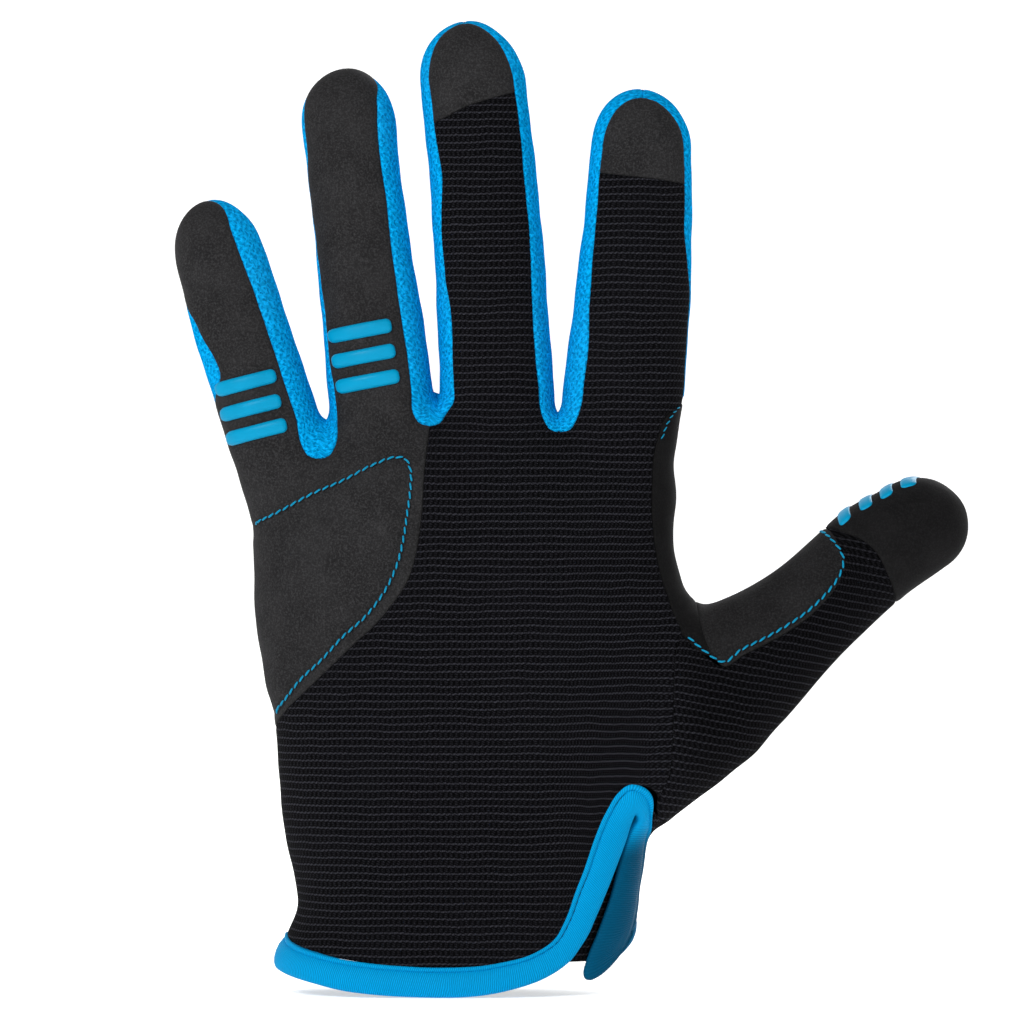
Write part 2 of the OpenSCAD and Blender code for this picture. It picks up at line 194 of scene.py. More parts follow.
FINGERS = {
    "index": Limb(
        (37.9, 0, 125), 4.2, 79.5, 13,
        [
            (-40, 8), (0, 12.8), (10, 13), (20, 12.8), (30, 12.5), (39, 12.2), (48, 11.7), (57, 11.3), (66, 10.9),
            (80, 10.6),
        ],
        [(-40, 6), (0, 10.4), (10, 10.4), (40, 9.6), (80, 8.8)], bowed(79.5, 1.1), 4, -28),
    "middle": Limb(
        (10.7, 0, 126), -4.5, 94.1, 14,
        [(-40, 8), (0, 12.3), (8, 12.4), (20, 12.1), (38, 11.8), (65, 11.4), (80, 11.4), (95, 11.2)],
        [(-40, 6), (0, 10.8), (10, 10.6), (45, 9.8), (95, 8.9)], bowed(94.1, 1.5, 0.3), 4, -28),
    "ring": Limb(
        (-13.8, 0, 124), -7.1, 85.8, 12.5,
        [(-40, 7), (0, 11.3), (10, 11.2), (26, 10.8), (49, 10.1), (67, 9.9), (72, 10), (86, 9.8)],
        [(-40, 6), (0, 10.2), (10, 10), (43, 9.2), (86, 8.4)], bowed(85.8, -0.3, -0.4), 4, -28),
    "pinky": Limb(
        (-38, 0, 122), -17.2, 59.6, 12,
        [(-40, 7), (0, 10.4), (10, 10.3), (29, 10.1), (44, 9.5), (60, 8.9)],
        [(-40, 5), (0, 9.6), (10, 9.2), (30, 8.4), (60, 7.6)], bowed(59.6, -0.5), 3, -28),
}
THUMB = Limb(
    (52, 0, 64), 53.5, 79.1, 10.5,
    [
        (-30, 17), (-20, 18.2), (0, 18.2), (8, 18), (17, 15.4), (29, 12.5), (43, 11.3), (51, 11), (57, 11.1),
        (66, 10.6), (80, 10),
    ],
    [(-30, 13), (0, 14.4), (20, 12.4), (40, 10.6), (58, 10), (80, 9)],
    [
        (-30, 0), (0, -0.4), (12, -0.3), (20, 0.2), (29, 0.2), (43, -0.9), (51, -1.7), (57, -2.2), (66, -1.6),
        (80, -0.3),
    ], 3, -16)
LIMBS = {**FINGERS, "thumb": THUMB}


def hand_size(z):
    left, right = smooth(HAND_LEFT, z), smooth(HAND_RIGHT, z)
    return (left + right) / 2, (right - left) / 2, smooth(HAND_DEPTH, z)


def hand_at(angle, z):
    """A point of the hand's rounded section at height z: angle 0 is the back, 90 the thumb's side."""
    z = np.asarray(z, float)
    turn = np.radians(angle)
    x, a, b = hand_size(z)
    return np.stack([x + a * spow(np.sin(turn), 2 / HAND_N), -b * spow(np.cos(turn), 2 / HAND_N), z + 0 * turn], -1)


def angle_of(x, z):
    """The angle round the back of the hand that lies at x and height z."""
    middle, a, _ = hand_size(z)
    return np.degrees(np.arcsin(spow(np.clip((x - middle) / a, -1, 1), HAND_N / 2)))


def creases(p):
    """Small hollows and swells of the cloth, up to a third of a millimetre."""
    x, y, z = p[..., 0], p[..., 1], p[..., 2]
    soft = np.sin(0.21 * x + 0.13 * z + 1.3) * np.sin(0.17 * z - 0.12 * x + 0.2 * y)
    fine = np.sin(0.45 * x - 0.31 * z + 0.7) * np.sin(0.36 * y + 0.33 * z + 0.2)
    fold = np.sin(0.62 * (z + 0.42 * x)) * np.exp(-(((x - 54) / 14) ** 2) - ((z - 66) / 16) ** 2)
    return 0.16 * soft + 0.09 * fine + 0.22 * fold


def form(p):
    """Distance outside the glove's filled form, near it: the hand, the fingers, the thumb and the two swellings of the
    palm, joined with rounded hollows."""
    z = p[..., 2]
    x, a, b = hand_size(z)
    w = np.maximum(z - HAND_DOME_FOOT, 0)
    hand = section(p[..., 0] - x, p[..., 1], w, a, b, HAND_TOP - HAND_DOME_FOOT, HAND_N)
    tubes = [finger.level(p) for finger in FINGERS.values()]
    fingers = tubes[0]
    for tube in tubes[1:]:
        fingers = join(fingers, tube, 1.4)
    whole = join(hand, fingers, 5)
    whole = join(whole, THUMB.level(p), 7)
    for middle, size in (((24, 6, 52), (19, 15, 30)), ((-20, 5, 48), (17, 15, 32))):
        q = (p - np.array(middle)) / np.array(size)
        r = np.sqrt((q * q).sum(-1)) + 1e-9
        swell = (r - 1) * r / np.maximum(np.sqrt(((q / np.array(size)) ** 2).sum(-1)), 0.02)
        whole = join(whole, swell, 7)
    return whole - creases(p)


def slope_of(p, level):
    """The form's gradient by small steps along the three axes, given the level at p."""
    e = 0.05
    return np.stack([(form(p + e * axis) - level) / e for axis in np.eye(3)], -1)


def settle(p):
    """Moves points onto the form: each step goes down the form's slope by the distance left."""
    for _ in range(6):
        level = form(p)
        g = slope_of(p, level)
        step = np.clip(level / np.maximum((g * g).sum(-1), 0.2), -3, 3)
        p = p - step[..., None] * g
    return p


def normal_at(p):
    g = slope_of(p, form(p))
    return g / np.linalg.norm(g, axis=-1, keepdims=True)


def facing(points, sign):
    """Points of the form seen straight on at given (x, z): halving between outside and the middle plane. The sign is
    -1 for the back of the hand and 1 for the palm."""
    xz = np.atleast_2d(np.array(points, float))
    outside, inside = np.full(len(xz), 40.0 * sign), np.zeros(len(xz))
    for _ in range(22):
        y = (outside + inside) / 2
        out = form(np.stack([xz[:, 0], y, xz[:, 1]], -1)) > 0
        outside, inside = np.where(out, y, outside), np.where(out, inside, y)
    return np.stack([xz[:, 0], inside, xz[:, 1]], -1)


def back(*points):
    return facing(points, -1)


def palm(*points):
    return facing(points, 1)


# ---- cloth ----

ROLL = 1.15  # how far in from a sewn edge the cloth rolls down
# where each limb's bend starts and ends along its middle line
BENDS = {"index": (9.5, 29), "middle": (9.5, 29), "ring": (9.5, 28), "pinky": (10.5, 28), "thumb": (16, 40)}


def spread(width, rolled=(True, True), step=1.0):
    """Shares of a width from 0 to 1 in even steps, with closer ones beside a rolled edge."""
    t = np.linspace(0, 1, max(int(round(width / step)), 3) + 1)
    near = np.array([0.22, 0.5, 0.85, 1.3]) / width
    parts = [t[1:-1]]
    if rolled[0]:
        parts = [parts[0][parts[0] > 1.5 / width], near]
    if rolled[1]:
        parts = [parts[0][parts[0] < 1 - 1.5 / width], *parts[1:], 1 - near]
    inner = np.unique(np.concatenate(parts).round(6))
    return np.concatenate([[0], inner[(inner > 0) & (inner < 1)], [1]])


def coons(left, right, bottom, top, u, v):
    """The surface between four curves: the blend of left and right plus that of bottom and top, less the blend of the
    corners."""
    a, b = left(v)[:, None], right(v)[:, None]
    c, d = bottom(u)[None], top(u)[None]
    s, t = u[None, :, None], v[:, None, None]
    corners = (1 - s) * (1 - t) * c[:, :1] + s * (1 - t) * c[:, -1:] + (1 - s) * t * d[:, :1] + s * t * d[:, -1:]
    return (1 - s) * a + s * b + (1 - t) * c + t * d - corners


def lengths(p, axis):
    """Length along the grid's lines from their first point."""
    step = np.linalg.norm(np.diff(p, axis=axis), axis=-1)
    pad = [(0, 0), (0, 0)]
    pad[axis] = (1, 0)
    return np.pad(np.cumsum(step, axis=axis), pad)


def roll_off(p, rolled):
    """0 at a sewn edge and 1 from ROLL inwards, as a quarter circle rises. rolled says left, right, bottom, top."""
    across, along = lengths(p, 1), lengths(p, 0)
    nearest = np.full(p.shape[:2], 1e3)
    for use, distance in zip(rolled, (across, across[:, -1:] - across, along, along[-1:] - along)):
        if use:
            nearest = np.minimum(nearest, distance)
    t = np.clip(nearest / ROLL, 0, 1)
    return np.sqrt(1 - (1 - t) ** 2)


def build(name, points, faces, uv=None, sharp=50):
    """A closed mesh from points in millimetres and faces of any size, with doubles merged and hard rims kept."""
    mesh = bpy.data.meshes.new(name)
    mesh.from_pydata(points * MM, [], faces)
    if uv is not None:
        layer = mesh.uv_layers.new(name="weave")
        corner = np.zeros(len(mesh.loops), np.int32)
        mesh.loops.foreach_get("vertex_index", corner)
        layer.data.foreach_set("uv", uv[corner].astype(np.float32).ravel())
    work = bmesh.new()
    work.from_mesh(mesh)
    bmesh.ops.remove_doubles(work, verts=work.verts, dist=2e-6)
    bmesh.ops.dissolve_degenerate(work, edges=work.edges, dist=1e-7)
    work.to_mesh(mesh)
    work.free()
    mesh.polygons.foreach_set("use_smooth", np.ones(len(mesh.polygons), bool))
    mesh.set_sharp_from_angle(angle=math.radians(sharp))
    piece = bpy.data.objects.new(name, mesh)
    bpy.context.scene.collection.objects.link(piece)
    return piece


def cells(i):
    """The four corners of every cell of a grid of point numbers."""
    return np.stack([i[:-1, :-1], i[:-1, 1:], i[1:, 1:], i[1:, :-1]], -1).reshape(-1, 4)


def shell_faces(height, width):
    """Faces of a closed shell of two grids: the outer ones, the inner ones turned round, and a rim of quads."""
    count = height * width
    i = np.arange(count).reshape(height, width)
    face = cells(i)
    ring = np.concatenate([i[0, :-1], i[:-1, -1], i[-1, :0:-1], i[:0:-1, 0]])
    after = np.roll(ring, -1)
    rim = np.stack([ring, ring + count, after + count, after], -1)
    return np.concatenate([face, face[:, ::-1] + count, rim])


def shell(name, layers, sharp=50):
    """One piece of closed shells, each from its outer grid, its inner grid and its place on the cloth."""
    points, faces, uvs, base = [], [], [], 0
    for outer, inner, uv in layers:
        faces.append(shell_faces(*outer.shape[:2]) + base)
        points += [outer.reshape(-1, 3), inner.reshape(-1, 3)]
        uvs += [uv.reshape(-1, 2)] * 2
        base += 2 * outer.shape[0] * outer.shape[1]
    return build(name, np.concatenate(points), np.concatenate(faces).tolist(), np.concatenate(uvs), sharp)


def outward(p, n):
    """Whether the grid's faces look outwards, as its normals do."""
    across, along = p[:-1, 1:] - p[:-1, :-1], p[1:, :-1] - p[:-1, :-1]
    return (np.cross(across, along) * n[:-1, :-1]).sum() >= 0


def panel(name, grid, rolled=(1, 1, 1, 1), raise_by=None, lift=0.0, thick=None, uv=None):
    """A sewn panel: the grid settled on the form, with the cloth's face outside it, lower at its sewn edges, the
    cloth's inside under it, and a rim between. raise_by adds a height over the grid, such as padding or a stitch
    groove. Its cut is its longest row, its longest column and its area."""
    sizes = bpy.context.scene.glove_sizes
    thick = thick or sizes.cloth * 1000
    p = settle(grid)
    n = normal_at(p)
    if not outward(p, n):
        p, n = p[:, ::-1], n[:, ::-1]
        rolled = (rolled[1], rolled[0], rolled[2], rolled[3])
    rise = roll_off(p, rolled)
    if uv is None:
        across, along = lengths(p, 1), lengths(p, 0)
        uv = np.stack([across - across[:, -1:] / 2, along - along[-1:] + along.max()], -1)
    else:
        uv = uv(p)
    height = lift + thick * (0.22 + 0.5 * rise)
    if raise_by is not None:
        height = height + raise_by(p) * rise
    outer = p + n * height[..., None]
    inner = p + n * (lift - thick * 0.35)
    piece = shell(name, [(outer, inner, uv)])
    twice = np.cross(p[1:, 1:] - p[:-1, :-1], p[1:, :-1] - p[:-1, 1:])
    piece["cut"] = [
        float(lengths(p, 1).max()), float(lengths(p, 0).max()), float(np.linalg.norm(twice, axis=-1).sum() / 2),
    ]
    return piece


def paint_shade(piece, amount):
    """Paints shade: how far each point's colour goes to its finish's darkest tone, kept in the point attribute named
    shade.
    """
    amount = np.broadcast_to(np.asarray(amount, np.float32), (len(piece.data.vertices),))
    piece.data.attributes.new("shade", "FLOAT", "POINT").data.foreach_set("value", np.ascontiguousarray(amount))


def sew_on(piece, slot, nodes, body, finger=None):
    """Gives the piece its finish, hides the CAD nodes it stands for and hangs it from its body, or from none on a
    finger.
    """
    piece.data.materials.append(bpy.data.materials[slot])
    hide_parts(*nodes)
    if finger:
        start, end = BENDS[finger]
        LIMBS[finger].reach(start)
        LIMBS[finger].reach(end)
        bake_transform(piece)
    else:
        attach(piece, body)
    if "cut" in piece:
        del piece["cut"]


def knit_map(p):
    """Width across the cloth from its middle, and height, so that ribs run level and meet from panel to panel."""
    across = lengths(p, 1)
    middle = across[:, p.shape[1] // 2, None]
    return np.stack([p[:, p.shape[1] // 2, 0, None] + across - middle, p[..., 2] + 0 * across], -1)


# ---- seams ----

WEBS = {
    "pinky_ring": ((-29.5, 120.7), (-29.0, 125.5)),
    "ring_middle": ((-4.5, 128.1), (-4.2, 127.6)),
    "middle_index": ((24.9, 126.7), (24.9, 126.8)),
}
SIDE_SEAM = -98
PALM_SEAM = 130
JOIN = 18  # how far up a finger its root's panels reach
BACK_SEAMS = {
    "index": (
        [(8, -41), (12, -42), (20, -41), (30, -47), (39, -49), (48, -51), (57, -52), (67, -50)],
        [(8, 84), (12, 85), (20, 82.5), (28, 84), (35, 79), (42, 67.5), (49, 60.5), (57, 59), (67, 58)],
    ),
    "middle": (
        [(8, -48), (20, -50), (28, -49), (37, -57), (46, -59), (60, -50), (68, -54), (75, -54), (83, -56)],
        [(8, 46), (28, 45), (38, 48), (60, 50), (75, 51), (85, 50)],
    ),
    "ring": (
        [
            (8, -59), (15, -62), (21, -67), (32, -69), (42, -74), (50, -83), (56, -88), (62, -86), (68, -76),
            (73, -72), (77, -76), (81, -88), (86, -94),
        ],
        [
            (8, 36), (18, 36), (31, 35), (44, 36), (53, 38), (68, 37), (75, 40), (79, 50), (82, 74), (84, 96),
            (86, 100),
        ],
    ),
    "pinky": (
        [
            (11.5, -102), (14.5, -90), (17.5, -62), (20, -47), (25, -45), (30, -57), (34, -65), (39, -89), (46, -98),
            (60, -100),
        ],
        [(8, 31), (20, 31.5), (30, 30.5), (38, 30), (43, 28), (48, 26), (53, 28), (57, 40), (60, 50)],
    ),
}
INDEX_EDGE_LEFT = [
    (52.3, 81.3), (49.6, 87.8), (47.4, 94.6), (45.9, 102.5), (45.4, 108.5), (45.6, 117.5), (46.2, 123.5), (47.4, 128),
]
THUMB_SIDE = [(47, 44.6), (49, 48.5), (50.1, 56), (50.4, 66), (50.6, 74), (51.4, 79)]
SUEDE_EDGE = [
    (-31.6, 69.2), (-26, 74.6), (-21.3, 79.2), (-16.6, 83.5), (-12.7, 88.2), (-9.3, 93.4), (-7.3, 100.2), (-6.2, 108),
    (-5.6, 117.7), (-4.9, 124.5), (-4.5, 128.1),
]
SIDE_LINE = [
    (-43.6, 106.2), (-38.3, 108.9), (-30.8, 112.9), (-23.6, 115.9), (-16.6, 119.5), (-12.4, 120.9), (-10, 120.6),
    (-8.9, 118.6), (-8.7, 114), (-9.5, 108.2), (-10.2, 103), (-11.8, 96.8), (-14.1, 91.6), (-18.8, 85.3),
    (-23.6, 81), (-28.4, 75.7), (-33.1, 71.2), (-36.6, 66.6), (-38.8, 63.4),
]
THUMB_PATCH_LOW = [(52.3, 81.3), (56.6, 77.2), (61.9, 74)]
THUMB_PATCH_EDGE = [
    (61.9, 74), (66, 76.4), (71.2, 79), (76.6, 82), (81.2, 85.2), (85.4, 89), (88.2, 92.3), (89.8, 95.6),
    (90.1, 98.2),
]
THUMB_PATCH_END = [(51.2, -15), (51.8, -42), (51.5, -70), (51, -100)]
THUMB_CAP_EDGE = [(-100, 51.3), (-70, 52.2), (-46, 53.6), (-20, 56), (0, 56.8), (24, 56), (72, 54.3), (105, 53.8)]
THUMB_FOOT = np.array([[46.6, 3, 37.4]])
THUMB_FOLD = [(59.2, 76.2), (57.4, 80.5)]
THUMB_CROTCH = np.array([[56.2, -6, 86], [55.8, 0, 88.5], [54.6, 7, 89]])
PALM_EDGE = [
    (39, 19.5), (40.5, 30), (40, 44), (39.5, 58), (42, 72), (47.5, 86), (49.5, 98), (49, 110), (49.4, 121),
    (49.8, 127),
]
TIP_MARGINS = {"index": (2.4, 1.5, 1.9), "middle": (1.7, 2.5, 0.6)}  # left, right and top, as seen from the front


def back_seam(name, side):
    """The back panel's seam on one side of a finger from JOIN to the tip, as a function giving its angle at s. On the
    dome of a finger with tip margins it keeps them from the outline, so it closes over below the tip."""
    table = BACK_SEAMS[name][side]
    if name not in TIP_MARGINS:
        return lambda s: smooth(table, s)
    limb, margin, top = FINGERS[name], TIP_MARGINS[name][side], TIP_MARGINS[name][2]
    foot = limb.length - limb.dome

    def angle(s):
        s = np.asarray(s, float)
        t = np.clip((s - foot) / (limb.dome - top), 0, 1)
        w = np.clip((s - foot) / limb.dome, 0, 1)
        width = smooth(limb.half_width, s)
        share = (width - margin) * np.sqrt(1 - t * t) / (width * np.sqrt(1 - w * w) + 1e-6)
        dome = np.degrees(np.arcsin(np.clip(share, 0, 1) ** (FINGER_N / 2))) * (-1, 1)[side]
        over = ramp((s - foot) / 2.5)
        return dome * over + smooth(table, s) * (1 - over)

    return angle


def web_curve(name, web, side, face):
    """The edge of a web's mesh, from the middle of the web up one side to the finger's seam, on the back or palm."""
    x, z = WEBS[web][0 if face < 0 else 1]
    way = (1, -1)[side]
    start = facing([(x, z), (x + 2.4 * way, z + 0.7), (x + 3.7 * way, z + 2.7)], face)
    seam = back_seam(name, side) if face < 0 else (lambda s: np.full(np.shape(s), (-PALM_SEAM, PALM_SEAM)[side]))
    limb = FINGERS[name]
    first = (z + 7 - limb.root[2]) / limb.ahead[2]
    s = np.linspace(max(first, 7.5), JOIN, 4)
    return line(start, limb.at(s, seam(s)))


def rows(limb, start, stop, step=1.15):
    """Distances along a limb in even steps, then closer over its dome, as the sine of even turns."""
    foot = limb.length - limb.dome
    shaft = np.linspace(start, min(foot, stop), max(int((min(foot, stop) - start) / step), 2) + 1)
    if stop <= foot:
        return shaft
    last = math.asin(min((stop - foot) / limb.dome, 1))
    turn = np.linspace(0, last, max(int(last * limb.dome / step * 1.25), 3) + 1)
    return np.concatenate([shaft, foot + limb.dome * np.sin(turn[1:])])


def strip(limb, s, left, right, columns):
    """A grid along a limb between two seams: at each s, angles in even shares from the left seam to the right one."""
    a, b = np.asarray(left(s)), np.asarray(right(s))
    angle = a[:, None] + (b - a)[:, None] * columns[None]
    return limb.at(s[:, None] + 0 * angle, angle)


def fixed(angle):
    return lambda s: np.full(np.shape(s), float(angle))


# ---- fingers ----

WEB_OF = {
    "index": ("middle_index", None), "middle": ("ring_middle", "middle_index"), "ring": ("pinky_ring", "ring_middle"),
    "pinky": (None, "pinky_ring"),
}


def finger_back_grid(name):
    """The root's surface between the two web edges, then the strip up the finger between its seams."""
    limb = FINGERS[name]
    left_web, right_web = WEB_OF[name]
    if left_web:
        left = web_curve(name, left_web, 0, -1)
    else:
        s = np.array([3.5, 7, 11.5, 14.5, JOIN])
        left = line(limb.at(s, np.concatenate([[-104, -108], smooth(BACK_SEAMS["pinky"][0], s[2:])])))
    if right_web:
        right = web_curve(name, right_web, 1, -1)
    else:
        s = np.array([9.5, 12, 15, JOIN])
        right = line(back((47.6, 128), (48.6, 130.6)), limb.at(s, back_seam("index", 1)(s)))
    u = spread(24, step=0.95)
    a, b = back_seam(name, 0), back_seam(name, 1)
    seam_s = np.full(len(u), float(JOIN))
    top = limb.at(seam_s, a(JOIN) + (b(JOIN) - a(JOIN)) * u)
    bottom = settle(left(np.zeros(1)) * (1 - u[:, None]) + right(np.zeros(1)) * u[:, None] - np.array([0, 2.0, 0]))
    bottom[0], bottom[-1] = left(np.zeros(1))[0], right(np.zeros(1))[0]
    v = spread(18, (False, False), 1.0)
    root = coons(left, right, lambda q: bottom, lambda q: top, u, v)
    end = limb.length - TIP_MARGINS.get(name, (0, 0, 0))[2]
    s = rows(limb, JOIN, end)
    return np.concatenate([root, strip(limb, s, a, b, u)[1:]]), u


CAP_LINES = {
    "index": [(-60, 60.2), (0, 59.6), (60, 58.8)],
    "middle": [(-60, 71.4), (-30, 72.6), (0, 75.2), (30, 76.8), (55, 77.4)],
}


def split_at_cap(name, grid):
    """The share of a back grid's rows at which the tip cap starts, for each column."""
    limb = FINGERS[name]
    s = (grid - limb.root) @ limb.ahead
    angle = np.linspace(-55, 55, grid.shape[1])
    target = smooth(CAP_LINES[name], angle)
    index = np.arange(grid.shape[0], dtype=float)
    return np.array([np.interp(t, column, index) for t, column in zip(target, s.T)])


def row_blend(grid, where):
    """Points of a grid at fractional rows, one array of rows for each column."""
    low = np.clip(np.floor(where).astype(int), 0, grid.shape[0] - 2)
    part = (where - low)[..., None]
    column = np.arange(grid.shape[1])[None]
    return grid[low, column] * (1 - part) + grid[low + 1, column] * part


def make_finger_back(name):
    grid, _ = finger_back_grid(name)
    if name in CAP_LINES:
        cut = split_at_cap(name, grid)
        share = spread(cut.mean() * 1.1, (False, True), 1.1)
        low = row_blend(grid, share[:, None] * cut[None])
        piece = panel(f"{name}_back_knit", low, (1, 1, 0, 1), uv=knit_map)
        sew_on(piece, "knit", [f"{name}_back"], None, name)
        last = grid.shape[0] - 1
        share = spread((last - cut.mean()) * 1.0, (True, True), 0.9)
        high = row_blend(grid, cut[None] + share[:, None] * (last - cut[None]))
        piece = panel(f"{name}_tip_suede", high, (1, 1, 1, 1))
        sew_on(piece, "suede", [f"{name}_tip_cap"], name)
    else:
        piece = panel(f"{name}_back_suede", grid, (1, 1, 0, 0), raise_by=side_padding if name == "ring" else None)
        sew_on(piece, "suede", [f"{name}_back"], None, name)


def make_finger_palm(name):
    limb = FINGERS[name]
    left_web, right_web = WEB_OF[name]
    if right_web:
        first = web_curve(name, right_web, 1, 1)
    else:
        s = np.array([10, 14, JOIN])
        first = line(palm((49.8, 127)), limb.at(s, np.full(3, PALM_SEAM)))
    if left_web:
        second = web_curve(name, left_web, 0, 1)
    else:
        s = np.array([3.5, 7, 11.5, 14.5, JOIN])
        second = line(limb.at(s, [-104, -108, -112, -120, -PALM_SEAM]))
    u = spread(22, step=1.0)
    top = limb.at(np.full(len(u), float(JOIN)), PALM_SEAM + (360 - 2 * PALM_SEAM) * u)
    bottom = settle(first(np.zeros(1)) * (1 - u[:, None]) + second(np.zeros(1)) * u[:, None] + np.array([0, 2.0, 0]))
    bottom[0], bottom[-1] = first(np.zeros(1))[0], second(np.zeros(1))[0]
    v = spread(16, (False, False), 1.0)
    root = coons(first, second, lambda q: bottom, lambda q: top, u, v)
    s = rows(limb, JOIN, limb.length)
    grid = np.concatenate([root, strip(limb, s, fixed(PALM_SEAM), fixed(360 - PALM_SEAM), u)[1:]])
    piece = panel(f"{name}_palm_suede", grid, (1, 1, 0, 0))
    sew_on(piece, "suede", [f"{name}_palm"], None, name)


def make_finger_side(name, side):
    """The mesh on one side: from the arch over its web, or from its own foot, up to the tip."""
    limb = FINGERS[name]
    web = WEB_OF[name][side]
    seam = back_seam(name, side)
    way = (-1, 1)[side]
    u = spread(15, step=0.9)

    def palm_edge(s):
        if name == "pinky" and side == 0:
            return smooth([(11.5, -112), (14.5, -120), (18, -128), (20, -130), (60, -130)], s)
        return np.full(np.shape(s), float(way * PALM_SEAM))

    def back_edge(s):
        if name not in TIP_MARGINS:
            return seam(s)
        return np.where(s > limb.length - TIP_MARGINS[name][2], 0, seam(s))

    if web:
        low, high = web_curve(name, web, side, -1), web_curve(name, web, side, 1)
        a, b = low(np.zeros(1))[0], high(np.zeros(1))[0]
        t = np.linspace(0, 1, 9)
        crest = facing_up(a[0])
        arch = a * (1 - t[:, None]) + b * t[:, None]
        arch[:, 2] += (crest - (a[2] + b[2]) / 2) * np.sin(np.pi * t) ** 0.8
        bottom = line(settle(arch))
        join_angle = back_edge(np.array([float(JOIN)]))[0]
        top = line(limb.at(np.full(9, float(JOIN)), join_angle + (way * PALM_SEAM - join_angle) * t))
        v = spread(14, (False, False), 0.9)
        root = coons(low, high, bottom, top, u, v)
        start = float(JOIN)
    else:
        root = None
        start = 10.2 if name == "index" else 11.5
    s = rows(limb, start, limb.length)
    grid = strip(limb, s, back_edge, palm_edge, u)
    if root is not None:
        grid = np.concatenate([root, grid[1:]])
    word = ("inner", "outer")[side]
    piece = panel(f"{name}_mesh_{word}", grid, (1, 1, web is None, 0))
    sew_on(piece, "mesh", [f"{name}_side_{word}"], None, name)


def facing_up(x):
    """Height of the web's crest at x, between two fingers: halving between the hand and the air above it."""
    inside, outside = 118.0, 140.0
    for _ in range(20):
        z = (inside + outside) / 2
        if form(np.array([[x, 0.0, z]]))[0] > 0:
            outside = z
        else:
            inside = z
    return inside


# ---- hand ----

def to_line(p, points):
    """Distance from each point to a drawn line and whether it lies on the line's right, both seen from the front."""
    q = line(points)(np.linspace(0, 1, 160))
    flat = p[..., [0, 2]]
    near = np.full(flat.shape[:-1], 1e9)
    sign = np.ones(flat.shape[:-1])
    for a, b in zip(q[:-1], q[1:]):
        t = np.clip(((flat - a) @ (b - a)) / ((b - a) @ (b - a)), 0, 1)
        gap = flat - a - t[..., None] * (b - a)
        d = np.hypot(gap[..., 0], gap[..., 1])
        closer = d < near
        near = np.where(closer, d, near)
        turn = (b - a)[0] * gap[..., 1] - (b - a)[1] * gap[..., 0]
        sign = np.where(closer, turn, sign)
    return near, sign < 0


def side_padding(p):
    """The swell of the padding inside the stitched outline on the little finger's side, and the stitches' groove."""
    near, inside = to_line(p, SIDE_LINE)
    on_back = ramp((4 - p[..., 1]) / 6)
    return on_back * (np.where(inside, 0.75 * ramp(near / 5), 0) - 0.3 * np.exp(-((near / 0.7) ** 2)))


def make_back():
    left = line(
        hand_at(np.full(4, SIDE_SEAM), np.array([13.2, 30, 46, 58])), back((-37.6, 63)), back(*SUEDE_EDGE))
    right = line(back(*THUMB_SIDE), back(*INDEX_EDGE_LEFT))
    bottom = line(hand_at(*tape_paths()[1](np.linspace(0, TAPE_RIGHT, 90)).T))
    top = line(
        back(WEBS["ring_middle"][0]), root_points("middle")[1:-1], back(WEBS["middle_index"][0]),
        root_points("index")[1:-1], back((47.6, 128)))
    u, v = spread(100, step=1.0), spread(112, (True, False), 1.0)
    grid = coons(left, right, bottom, top, u, v)
    piece = panel("back_knit", grid, (1, 1, 1, 0), uv=knit_map)
    sew_on(piece, "knit", ["back_panel"], "hand")


def root_points(name):
    """The line across a finger's root on the back, where its own panel starts."""
    grid, _ = finger_back_grid(name)
    return settle(grid[0])[:: max(len(grid[0]) // 9, 1)]


def pinky_foot():
    """Where the little finger's outer seams start, on the side of the hand."""
    return FINGERS["pinky"].at([3.5], [-104])


def make_side_back():
    foot = hand_at(np.array([SIDE_SEAM]), np.array([59.5]))
    left = line(foot, hand_at(np.full(6, SIDE_SEAM), np.array([68, 78, 88, 98, 108, 117])), pinky_foot())
    right = line(foot, back((-37.6, 63)), back(*SUEDE_EDGE))
    top = line(
        pinky_foot(), root_points("pinky")[1:-1], back(WEBS["pinky_ring"][0]), root_points("ring")[1:-1],
        back(WEBS["ring_middle"][0]))
    u, v = spread(56, step=0.85), spread(64, (True, False), 0.85)
    v = v[v > 0.004]
    grid = coons(left, right, lambda q: np.repeat(foot, len(q), 0), top, u, v)
    piece = panel("side_suede", grid, (1, 1, 1, 0), raise_by=side_padding)
    sew_on(piece, "suede", ["side_back_panel"], "hand")
    share, z = np.linspace(0, 1, 30), np.linspace(76, 112, 34)
    a, b = np.full(len(z), -90.0), angle_of(smooth([(q[1], q[0] - 3) for q in SUEDE_EDGE], z), z)
    angle = a[:, None] + (b - a)[:, None] * share
    pad = hand_at(angle.ravel(), np.repeat(z, len(share))).reshape(*angle.shape, 3)
    piece = panel("side_foam", pad, lift=-1.7, thick=1.6)
    sew_on(piece, "foam", ["side_pad"], "hand")


def make_index_edge():
    index = FINGERS["index"]
    left = line(back(*INDEX_EDGE_LEFT), back((48.6, 130.6)), index.at([9.5], back_seam("index", 1)(np.array([9.5]))))
    right = line(back(*THUMB_FOLD), settle(THUMB_CROTCH), palm(*PALM_EDGE[6:]), index.at([10.2], [PALM_SEAM]))
    bottom = line(back(*THUMB_PATCH_LOW[:2], THUMB_FOLD[0]))
    t = np.linspace(0, 1, 7)
    a = back_seam("index", 1)(np.array([9.8]))[0]
    top = line(index.at(9.5 + 0.7 * t, a + (PALM_SEAM - a) * t))
    u, v = spread(18, step=0.8), spread(56, step=0.9)
    piece = panel("index_edge_suede", coons(left, right, bottom, top, u, v), (1, 1, 1, 1))
    # painted shade: the index edge's suede is darkened towards its finish's darkest tone
    paint_shade(piece, 0.8)
    sew_on(piece, "suede", ["index_edge_panel"], None, "index")


